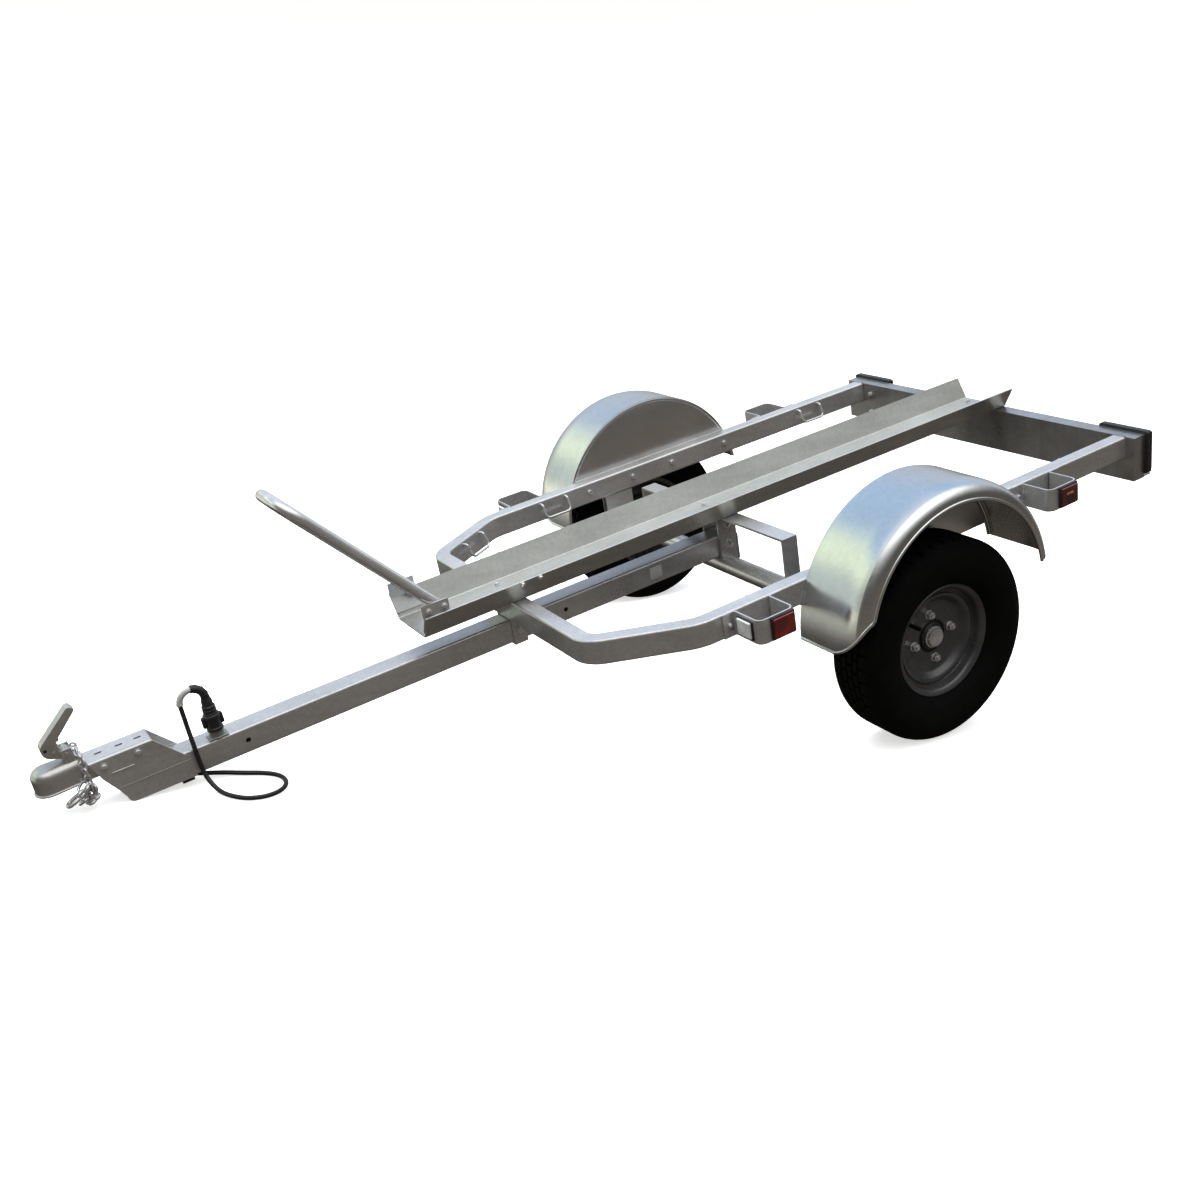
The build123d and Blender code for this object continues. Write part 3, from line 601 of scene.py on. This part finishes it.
for side, sign in (("left", 1), ("right", -1)):
    hubSpot = Matrix.Translation((wheel["x"] * mm, sign * wheel["y"] * mm, wheel["z"] * mm))
    place = parked @ hubSpot @ Matrix.Diagonal((1, sign, 1, 1))
    buildTyre(side, place, tyre)
    buildRim(side, place, rim)
    buildHub(side, place, hub)
    buildValve(side, place, valve)
print("wheels built")

# bolts: places on the left, mirrored to the right
# heads are width across, height, sides and edge
boltHeads = dict(m6=(10, 4.0, 6, 0.9), m8=(13, 5.3, 6, 0.9), m10=(17, 6.4, 6, 0.9), m12=(19, 7.5, 6, 0.9),
                 dome=(13, 5.5, 20, 3.6))
boltWasher = dict(share=0.64, tall=1.5, edge=0.3)
bolts = {
    "hoop plates": dict(size="dome", way=(0, 1, 0), spots=[(818, 97.1, 189), (857, 97.1, 189)]),
    "channel wall": dict(size="dome", way=(0, 0.875, -0.484),
                         spots=[(622, 102.2, 171), (574, 102, 171)]),
    "nose bracket": dict(size="dome", way=(0, 1, 0), spots=[(1594, 34, 101), (1523, 34, 104)]),
    "strap": dict(size="m10", way=(0, 1, 0), spots=[(622, 35, 30)]),
    "beam clamp": dict(size="m12", way=(0, 1, 0), spots=[(-10, 35, 30), (-10, 35, 86)]),
    "lamp hoops": dict(size="m6", way=(0, 1, 0),
                       spots=[(218, 517, 90), (347, 517, 90), (-678, 517, 90), (-549, 517, 90)]),
    "fender plate": dict(size="m8", way=(0, -1, 0),
                         spots=[(94, 473, 93), (-56, 473, 93), (-196, 473, 93), (-390, 473, 93)]),
    "channel floor": dict(size="dome", way=(0, 0, 1),
                          spots=[(620, 47, 123), (0, 42, 123), (-966, 40, 123)]),
    "rear member": dict(size="m8", way=(1, 0, 0), spots=[(-954, 440, 88), (-954, 440, 30)]),
}


def buildBolts(rows, washer):
    bm = bmesh.new()
    for row in rows.values():
        across, tall, sides, edge = boltHeads[row["size"]]
        girth = across / math.sqrt(3) if sides == 6 else across / 2
        for spot in row["spots"]:
            for sign in (1, -1):
                way = Vector((row["way"][0], row["way"][1] * sign, row["way"][2])).normalized()
                seat = Vector((spot[0], spot[1] * sign, spot[2]))
                addDisc(bm, facing(seat, way), across * washer["share"], washer["tall"], washer["edge"])
                addDisc(bm, facing(seat + way * washer["tall"], way), girth, tall, edge, sides)
    finishPiece("frameBolts", bm, brightZinc, sharp=25)


buildBolts(bolts, boltWasher)

# weld seams at the hoop's plates, the torsion beam, the rear member and the beam clamp
welds = [
    dict(radius=2.4, ends=((810, 89.5, 185), (826, 89.5, 204))),
    dict(radius=2.4, ends=((821, 89.5, 167), (852, 89.5, 203.5))),
    dict(radius=3.0, ends=((-22, 306, 4), (22, 306, 4))),
    dict(radius=3.0, ends=((-22.5, 299, -2), (-22.5, 305, -20))),
    dict(radius=3.0, ends=((-954, 474, 61), (-954, 474, 119))),
    dict(radius=3.0, ends=((-954, 475, 120), (-954, 511, 120))),
    dict(radius=2.8, ends=((-38, 35, -20), (-38, 35, 50))),
    dict(radius=2.8, ends=((18, 35, -20), (18, 35, 50))),
]


def buildWelds(rows):
    bm = bmesh.new()
    for row in rows:
        for sign in (1, -1):
            start, end = ((x, y * sign, z) for x, y, z in row["ends"])
            addWeld(bm, start, end, row["radius"])
    finishPiece("weldSeams", bm, weldZinc, sharp=60)


buildWelds(welds)
print("bolts and welds built")

# nose bracket trim: three slots in the top, each a thin near-black inset painted as the shade inside the
# slot; a pressed line and a fold line on each cheek
noseTrim = dict(
    slots=[1512, 1551, 1594], slotLong=16, slotWide=6, slotDeep=1, slotEnd=1.02, slotSides=16,
    top=120.2, cheek=34,
    lines=[dict(x=(1537, 1584), z=80, half=2.2, proud=1.2, rounding=1.0, segments=3),
           dict(x=(1428, 1580), z=42, half=1.2, proud=0.7, rounding=0.6, segments=2)],
)


def buildNoseTrim(spec):
    bm = bmesh.new()
    wide = spec["slotWide"] / 2
    half = spec["slotLong"] / 2 - wide
    floor = spec["top"] - spec["slotDeep"]
    for x in spec["slots"]:
        addBox(bm, (x - half, -wide, floor), (x + half, wide, spec["top"]))
        for end in (-half, half):
            at = facing((x + end, 0, floor), (0, 0, 1))
            addDisc(bm, at, wide, spec["slotEnd"], segments=spec["slotSides"])
    finishPiece("noseSlotShade", bm, slotShade, sharp=30)
    bm = bmesh.new()
    for sign in (1, -1):
        y = spec["cheek"] * sign
        for line in spec["lines"]:
            (back, ahead), z = line["x"], line["z"]
            low = (back, y - line["proud"], z - line["half"])
            high = (ahead, y + line["proud"], z + line["half"])
            addBox(bm, low, high, line["rounding"], line["segments"])
    finishPiece("noseRibs", bm, galvanised, sharp=40)


buildNoseTrim(noseTrim)

# rolled lip round the mouth of the coupling
mouthLip = dict(back=1640, centre=1698, backHalf=28.4, round=33.2, low=83.6, wire=2.8, sideSteps=6,
                noseSteps=24)


def buildMouthLip(spec):
    steps = spec["sideSteps"]
    side = [(spec["back"] + (spec["centre"] - spec["back"]) * i / steps,
             spec["backHalf"] + (spec["round"] - spec["backHalf"]) * i / steps) for i in range(steps + 1)]
    turns = [math.pi * i / spec["noseSteps"] for i in range(1, spec["noseSteps"])]
    nose = [(spec["centre"] + spec["round"] * math.sin(a), spec["round"] * math.cos(a)) for a in turns]
    path = [(x, y, spec["low"]) for x, y in side + nose] + [(x, -y, spec["low"]) for x, y in reversed(side)]
    bm = bmesh.new()
    addTube(bm, path, spec["wire"])
    finishPiece("mouthLip", bm, couplingZinc, sharp=50)


buildMouthLip(mouthLip)

# coupling handle: two side walls on a folded web, a rounded elbow, an eye, a stop tooth, rivets, and a thin
# dark disc on each side painted as the shade inside a hole
# outlines are x and z from the pivot with each corner's radius
handle = dict(
    pivot=(1650, 152), half=14.2, wall=4.0, sunk=0.1, edge=1.6, sides=16,
    side=[(5.5, -8.3, 0.5), (10, -9, 8), (42, 4, 20), (46, 28, 20), (-33, 96, 8), (-43, 83, 8),
          (14, 28, 12), (5.5, 7.8, 0.5)],
    web=[(5.5, -8.3, 0.5), (10, -9, 8), (42, 4, 20), (46, 28, 20), (-33, 96, 8), (-43, 83, 2),
         (-38.8, 78.9, 1), (-30.8, 87.4, 2), (30.9, 34.4, 2), (14, 28.1, 2), (5.5, 7.8, 0.5)],
    eye=dict(bore=4.3, radius=10, reach=14.4, steps=28),
    tooth=dict(x=8.3, z=33.5, radius=4.5),
    rivet=dict(x=22, z=10, radius=4.0, tall=1.4, edge=0.7),
    # hole: a thin dark disc painted as the shade inside a pin hole
    hole=dict(x=36, z=20, radius=3.6, tall=0.3),
)


def roundedOutline(corners, steps=6):
    points = []
    for index, (x, z, radius) in enumerate(corners):
        spot = Vector((x, z))
        back = (Vector(corners[index - 1][:2]) - spot).normalized()
        ahead = (Vector(corners[(index + 1) % len(corners)][:2]) - spot).normalized()
        half = back.angle(ahead) / 2
        reach = radius / math.tan(half)
        middle = spot + (back + ahead).normalized() * (radius / math.sin(half) - radius)
        points += arcThrough(spot + back * reach, middle, spot + ahead * reach, steps)
    return points


def addSheet(bm, outline, low, high, edge=0.0):
    face = bm.faces.new([bm.verts.new((x * mm, low * mm, z * mm)) for x, z in outline])
    grown = bmesh.ops.extrude_face_region(bm, geom=[face])["geom"]
    bmesh.ops.translate(bm, verts=ofKind(grown, bmesh.types.BMVert), vec=(0, (high - low) * mm, 0))
    if edge:
        roundEdges(bm, ofKind(grown, bmesh.types.BMEdge), edge, segments=3)


def buildHandle(spec):
    px, pz = spec["pivot"]
    about = parked @ Matrix.Translation((px * mm, 0, pz * mm))
    inside = spec["half"] - spec["wall"]
    eye, tooth, rivet, hole = (spec[key] for key in ("eye", "tooth", "rivet", "hole"))
    bm = bmesh.new()
    # dark holds the discs painted as the shade in the holes
    dark = bmesh.new()
    for sign in (1, -1):
        face, way = sign * spec["half"], (0, sign, 0)
        addSheet(bm, roundedOutline(spec["side"]), sign * inside, face, spec["edge"])
        at = facing((rivet["x"], face, rivet["z"]), way)
        addDisc(bm, at, rivet["radius"], rivet["tall"], rivet["edge"], spec["sides"])
        at = facing((hole["x"], face, hole["z"]), way)
        addDisc(dark, at, hole["radius"], hole["tall"], segments=spec["sides"])
    addSheet(bm, roundedOutline(spec["web"]), -inside - spec["sunk"], inside + spec["sunk"])
    ring = [(eye["bore"], -eye["reach"]), (eye["radius"], -eye["reach"]),
            (eye["radius"], eye["reach"]), (eye["bore"], eye["reach"])]
    spinProfile(bm, [(r * mm, y * mm, 0) for r, y in ring], (0, 1, 0), eye["steps"])
    at = facing((tooth["x"], -inside, tooth["z"]), (0, 1, 0))
    addDisc(bm, at, tooth["radius"], 2 * inside, segments=spec["sides"])
    piece = finishPiece("handleChannel", bm, couplingZinc, "handle", 35, about)
    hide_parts("coupling_handle")
    finishPiece("handleHoleShade", dark, slotShade, "handle", 35, about)


buildHandle(handle)

# safety chain: links wound round the coupling neck, a heap of loose links beside it and a snap hook
# links are length, width and wire radius; heap rows are x, y, z and three turns in degrees
chain = dict(
    x=1631, half=38.5, low=70, high=137.8, count=18, twist=0.35,
    wound=(27, 16.5, 2.6), loose=(30, 20.5, 3.3), hook=(52, 27, 4.0), hookAt=(1664, 38, 60), hookLean=24,
    gate=dict(radius=4.3, long=18, edge=1.2, sides=14, inset=3),
    heap=[(1631, 36, 60, 90, 0, 20), (1637, 41, 74, 20, 60, 0), (1642, 37, 58, 75, 30, 60),
          (1633, 35, 46, 10, 20, 80), (1649, 42, 66, 60, 70, 10), (1653, 37, 48, 30, 10, 40),
          (1626, 38, 66, 80, 50, 100), (1645, 39, 80, 40, 20, 120), (1640, 34, 40, 5, 15, 20)],
)


def buildChain(spec):
    bm = bmesh.new()
    wide, tall = 2 * spec["half"], spec["high"] - spec["low"]
    sides = [(wide, (1, 0)), (tall, (0, 1)), (wide, (-1, 0)), (tall, (0, -1))]  # run and way of each
    for index in range(spec["count"]):
        along = 2 * (wide + tall) * index / spec["count"]
        y, z = -spec["half"], spec["low"]
        for length, way in sides:
            go = min(along, length)
            y, z = y + way[0] * go, z + way[1] * go
            along -= go
            if along <= 0:
                break
        turn = Vector((0, 1, 0)).rotation_difference(Vector((0, *way))).to_matrix().to_4x4()
        at = Matrix.Translation(Vector((spec["x"], y, z)) * mm) @ turn
        at = at @ Matrix.Rotation(math.pi / 2 * (index % 2) + spec["twist"], 4, "Y")
        addLink(bm, at, *spec["wound"])
    for x, y, z, *lean in spec["heap"]:
        turn = Euler([math.radians(a) for a in lean]).to_matrix().to_4x4()
        addLink(bm, Matrix.Translation(Vector((x, y, z)) * mm) @ turn, *spec["loose"])
    lean = Matrix.Rotation(math.radians(spec["hookLean"]), 4, "Y") @ Matrix.Rotation(math.pi / 2, 4, "Z")
    lying = Matrix.Translation(Vector(spec["hookAt"]) * mm) @ lean
    addLink(bm, lying, *spec["hook"], segments=10, turns=12)
    gate = spec["gate"]
    foot = Vector((spec["hook"][1] / 2 - gate["inset"], -gate["long"] / 2, 0)) * mm
    upright = lying @ Matrix.Translation(foot) @ Matrix.Rotation(-math.pi / 2, 4, "X")
    addDisc(bm, upright, gate["radius"], gate["long"], gate["edge"], gate["sides"])
    piece = finishPiece("safetyChainLinks", bm, brightZinc, sharp=50)
    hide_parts("safety_chain")


buildChain(chain)
print("nose trim, handle and chain built")

# marker lamps: a black seat round each lens, on both sides
markerSeats = dict(
    rounding=2.0,
    seats=[dict(x=(330, 336), y=(528, 580), z=(68, 112)),
           dict(x=(238, 302), y=(600, 607), z=(63.5, 117.5)),
           dict(x=(-656.5, -593.5), y=(600, 607), z=(63.5, 117.5))],
)


def addOnSide(bm, sign, x, y, z, rounding, segments=2):
    right, left = sorted(sign * edge for edge in y)
    addBox(bm, (x[0], right, z[0]), (x[1], left, z[1]), rounding, segments)


def addBothSides(bm, spec, rounding, segments=2):
    for sign in (1, -1):
        addOnSide(bm, sign, spec["x"], spec["y"], spec["z"], rounding, segments)


def buildMarkerSeats(spec):
    bm = bmesh.new()
    for seat in spec["seats"]:
        addBothSides(bm, seat, spec["rounding"], segments=3)
    finishPiece("markerSeats", bm, lampPlastic, sharp=40)


buildMarkerSeats(markerSeats)

# painted highlight: a bright orange bar in each rear marker lens, where light catches the lens
markerHighlight = dict(x=(-634, -612), y=(611, 612.8), z=(94, 100), rounding=0.8)


def buildMarkerHighlights(spec):
    bm = bmesh.new()
    addBothSides(bm, spec, spec["rounding"])
    finishPiece("markerHighlights", bm, lensHighlight, sharp=40)


buildMarkerHighlights(markerHighlight)

# tail lamps: amber, red and clear cells in a black rim, with a triangle reflector on the red
tailLens = dict(
    x=(-1022, -1009.5), rounding=4.0, segments=4, facesRear=0.9, faceRim=0.003, faceLift=0.0008,
    cells=[dict(name="Amber", y=(502, 544), z=(18, 122), finish=lensAmber, slot="lens_amber"),
           dict(name="Red", y=(404, 500), z=(47, 122), finish=lensRed, slot="lens_red"),
           dict(name="Clear", y=(404, 500), z=(18, 45), finish=lensWhite, slot="lens_white")],
    triangle=dict(x=-1022.8, y=452.5, z=83, radius=36, tall=2.4, edge=1.0),
)


def buildTailLens(side, sign, spec):
    for cell in spec["cells"]:
        name, finish, slot = cell["name"], cell["finish"], cell["slot"]
        bm = bmesh.new()
        addOnSide(bm, sign, spec["x"], cell["y"], cell["z"], spec["rounding"], spec["segments"])
        rear = [face for face in bm.faces if -face.normal.x > spec["facesRear"]]
        bmesh.ops.inset_region(bm, faces=rear, thickness=spec["faceRim"], depth=spec["faceLift"],
                               use_boundary=True, use_even_offset=True)
        piece = finishPiece(side + "Tail" + name, bm, finish, sharp=35)
        if name == "Red":
            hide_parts(side + "_tail_lens")
    bm = bmesh.new()
    mark = spec["triangle"]
    at = facing((mark["x"], sign * mark["y"], mark["z"]), (-1, 0, 0))
    upright = at @ Matrix.Rotation(math.radians(-90), 4, "Z")
    addDisc(bm, upright, mark["radius"], mark["tall"], mark["edge"], segments=3)
    finishPiece(side + "TailTriangle", bm, lensRed, sharp=30)


for side, sign in (("left", 1), ("right", -1)):
    buildTailLens(side, sign, tailLens)
print("lamps built")

# each fender's bead: along the front edge, round the lower corner and up to the rolled rim
# its folded inner edge is a plain tube from foot to foot
fenderEdge = dict(
    x=-148, z=-18, inner=514, out=706, past=1, skin=304, crown=(120, 20), roll=(32, 90), round=120, graze=15,
    rim=266.7, rimRise=(90, 97, 104, 111), wire=4.0, flatSteps=4, cornerSteps=20,
    fold=dict(radius=299.5, y=517.5, wire=6.0, turn=(1, 171), steps=64, sides=14),
)


def skinRadius(spec, y):
    crown, lean = spec["crown"][0], math.radians(spec["crown"][1])
    roll, end = spec["roll"][0], math.radians(spec["roll"][1])
    turnAt = spec["out"] - roll * (math.sin(end) - math.sin(lean))
    start = turnAt - crown * math.sin(lean)
    if y <= start:
        return spec["skin"]
    if y <= turnAt:
        return spec["skin"] - crown * (1 - math.cos(math.asin((y - start) / crown)))
    bent = math.asin(min(1, (y - turnAt) / roll + math.sin(lean)))
    return spec["skin"] - crown * (1 - math.cos(lean)) - roll * (math.cos(lean) - math.cos(bent))


def buildFenderEdges(spec):
    graze = math.radians(spec["graze"])
    inset, rise = spec["round"] * math.cos(graze), spec["round"] * math.sin(graze)
    centre = spec["out"] + spec["past"] - inset
    flat = [(spec["inner"] + (centre + rise - spec["inner"]) * i / spec["flatSteps"], 0)
            for i in range(spec["flatSteps"])]
    steps = spec["cornerSteps"]
    turns = [graze + (math.pi / 2 - 2 * graze) * i / steps for i in range(steps + 1)]
    corner = [(centre + spec["round"] * math.sin(a), inset - spec["round"] * math.cos(a)) for a in turns]
    corner = [(min(y, spec["out"]), z) for y, z in corner]
    bead = [(skinRadius(spec, y), y, z) for y, z in flat + corner]
    bead += [(spec["rim"], spec["out"], z) for z in spec["rimRise"]]
    fold = spec["fold"]
    first, last = (math.radians(turn) for turn in fold["turn"])
    bends = [first + (last - first) * i / fold["steps"] for i in range(fold["steps"] + 1)]
    bm = bmesh.new()
    for sign in (1, -1):
        path = [(spec["x"] + math.sqrt(r * r - z * z), sign * y, spec["z"] + z) for r, y, z in bead]
        addTube(bm, path, spec["wire"])
        r, y = fold["radius"], sign * fold["y"]
        path = [(spec["x"] + r * math.cos(a), y, spec["z"] + r * math.sin(a)) for a in bends]
        addTube(bm, path, fold["wire"], fold["sides"])
    finishPiece("fenderEdges", bm, fenderZinc, sharp=60)


buildFenderEdges(fenderEdge)

# blank riveted plate on the drawbar's side
drawbarPlate = dict(x=(201, 237), y=(29.8, 30.9), z=(14, 46), rounding=0.4, margin=4,
                    rivet=dict(y=30.8, radius=2.2, tall=1.0, edge=0.6, sides=14))


def buildDrawbarPlate(spec):
    (back, ahead), (right, left), (low, high) = spec["x"], spec["y"], spec["z"]
    rivet, margin = spec["rivet"], spec["margin"]
    bm = bmesh.new()
    addBox(bm, (back, right, low), (ahead, left, high), spec["rounding"])
    for x in (back + margin, ahead - margin):
        for z in (low + margin, high - margin):
            at = facing((x, rivet["y"], z), (0, 1, 0))
            addDisc(bm, at, rivet["radius"], rivet["tall"], rivet["edge"], rivet["sides"])
    finishPiece("blankPlate", bm, plateBlank, sharp=30)


buildDrawbarPlate(drawbarPlate)
print("trim built")

# pale floor that sweeps up all round
sweepFloor = dict(eye=0.001, flat=9.0, bend=4.0, bendSteps=12, wall=5.0, steps=64, merge=0.0005, rough=0.9,
                  colour=(0.92, 0.92, 0.915, 1), glow=0.62, glowColour=(1.0, 1.0, 0.99, 1))


def layFloor(spec):
    flat, bend, steps = spec["flat"], spec["bend"], spec["bendSteps"]
    turns = [math.radians(90 * step / steps) for step in range(1, steps + 1)]
    profile = [(spec["eye"], 0, 0), (flat, 0, 0)]
    profile += [(flat + bend * math.sin(a), 0, bend * (1 - math.cos(a))) for a in turns]
    profile.append((flat + bend, 0, bend + spec["wall"]))
    bm = bmesh.new()
    spinProfile(bm, profile, (0, 0, 1), spec["steps"], closed=False)
    bmesh.ops.remove_doubles(bm, verts=bm.verts, dist=spec["merge"])
    bmesh.ops.recalc_face_normals(bm, faces=bm.faces)
    mesh = bpy.data.meshes.new("studioFloor")
    bm.to_mesh(mesh)
    bm.free()
    mesh.shade_smooth()
    mat, tree, bsdf = newMaterial("studioFloor")
    bsdf.inputs["Base Color"].default_value = spec["colour"]
    bsdf.inputs["Roughness"].default_value = spec["rough"]
    bsdf.inputs["Emission Color"].default_value = spec["glowColour"]
    bsdf.inputs["Emission Strength"].default_value = spec["glow"]
    mesh.materials.append(mat)
    floor = bpy.data.objects.new("studioFloor", mesh)
    floor.visible_glossy = False
    floor.visible_diffuse = False
    bpy.context.scene.collection.objects.link(floor)


layFloor(sweepFloor)

# soft studio light: a pale dome, tinted ahead and dim on the near side, over a dark ground; two softboxes
# dome stops run from straight down at 0 to straight up at 1
studio = dict(
    rearDome=[(0.0, (0.07, 0.061, 0.052)), (0.15, (0.013, 0.011, 0.009)), (0.26, (0.013, 0.011, 0.009)),
              (0.36, (0.127, 0.112, 0.094)), (0.46, (0.229, 0.201, 0.169)), (0.54, (0.265, 0.271, 0.271)),
              (0.62, (0.341, 0.371, 0.418)), (0.7, (0.341, 0.376, 0.435)), (0.78, (0.341, 0.406, 0.506)),
              (0.84, (0.282, 0.4, 0.559)), (0.92, (0.318, 0.424, 0.571)), (1.0, (0.365, 0.447, 0.565))],
    frontDome=[(0.0, (0.07, 0.061, 0.052)), (0.26, (0.032, 0.028, 0.024)), (0.33, (0.212, 0.212, 0.188)),
               (0.4, (0.5, 0.5, 0.424)), (0.44, (0.941, 0.941, 0.735)), (0.49, (0.388, 0.424, 0.406)),
               (0.56, (0.353, 0.412, 0.4)), (0.62, (0.412, 0.471, 0.424)), (0.67, (0.659, 0.747, 0.576)),
               (0.77, (0.659, 0.747, 0.576)), (0.81, (0.441, 0.559, 0.588)), (0.84, (0.282, 0.4, 0.559)),
               (0.92, (0.318, 0.424, 0.571)), (1.0, (0.365, 0.447, 0.565))],
    nearDome=[(0.0, (0.064, 0.056, 0.047)), (0.25, (0.083, 0.073, 0.061)), (0.34, (0.095, 0.084, 0.071)),
              (0.5, (0.064, 0.056, 0.047)), (0.66, (0.053, 0.051, 0.047)), (0.7, (0.094, 0.094, 0.088)),
              (0.735, (0.176, 0.179, 0.168)), (0.79, (0.247, 0.253, 0.247)), (0.85, (0.559, 0.571, 0.576)),
              (0.89, (0.971, 0.971, 0.941)), (1.0, (0.971, 0.971, 0.941))],
    ahead=(0.02, 0.38), aside=(-0.26, 0.06), strength=1.7,
    boxes=[dict(name="overhead", spot=(0.2, -0.8, 4.2), aim=(0, 0, 0), size=4.5, power=320,
                tint=(1.0, 0.99, 0.97)),
           dict(name="frontFill", spot=(3.0, 4.0, 2.6), aim=(0.2, 0, 0.3), size=3.0, power=22,
                tint=(1.0, 0.92, 0.82))],
)


def lightStudio(spec):
    world = bpy.data.worlds.new("studio")
    bpy.context.scene.world = world
    world.use_nodes = True
    tree = world.node_tree
    coords = addNode(tree, "ShaderNodeTexCoord")
    split = addNode(tree, "ShaderNodeSeparateXYZ")
    tree.links.new(coords.outputs["Generated"], split.inputs["Vector"])

    def share(axis, low, high):
        reach = addNode(tree, "ShaderNodeMapRange")
        reach.inputs["From Min"].default_value = low
        reach.inputs["From Max"].default_value = high
        tree.links.new(split.outputs[axis], reach.inputs["Value"])
        return reach.outputs["Result"]

    height = share("Z", -1, 1)
    rear = ramp(tree, height, spec["rearDome"])
    front = ramp(tree, height, spec["frontDome"])
    dome = blendColour(tree, rear, front, share("X", *spec["ahead"]))
    near = ramp(tree, height, spec["nearDome"])
    back = tree.nodes["Background"]
    tree.links.new(blendColour(tree, dome, near, share("Y", *spec["aside"])), back.inputs["Color"])
    back.inputs["Strength"].default_value = spec["strength"]
    for row in spec["boxes"]:
        data = bpy.data.lights.new(row["name"], "AREA")
        data.size = row["size"]
        data.energy = row["power"]
        data.color = row["tint"]
        light = bpy.data.objects.new(row["name"], data)
        light.location = row["spot"]
        light.visible_glossy = False
        light.rotation_euler = (Vector(row["aim"]) - light.location).to_track_quat("-Z", "Y").to_euler()
        bpy.context.scene.collection.objects.link(light)


lightStudio(studio)
bpy.context.scene.view_settings.view_transform = "Standard"
print("studio lit")
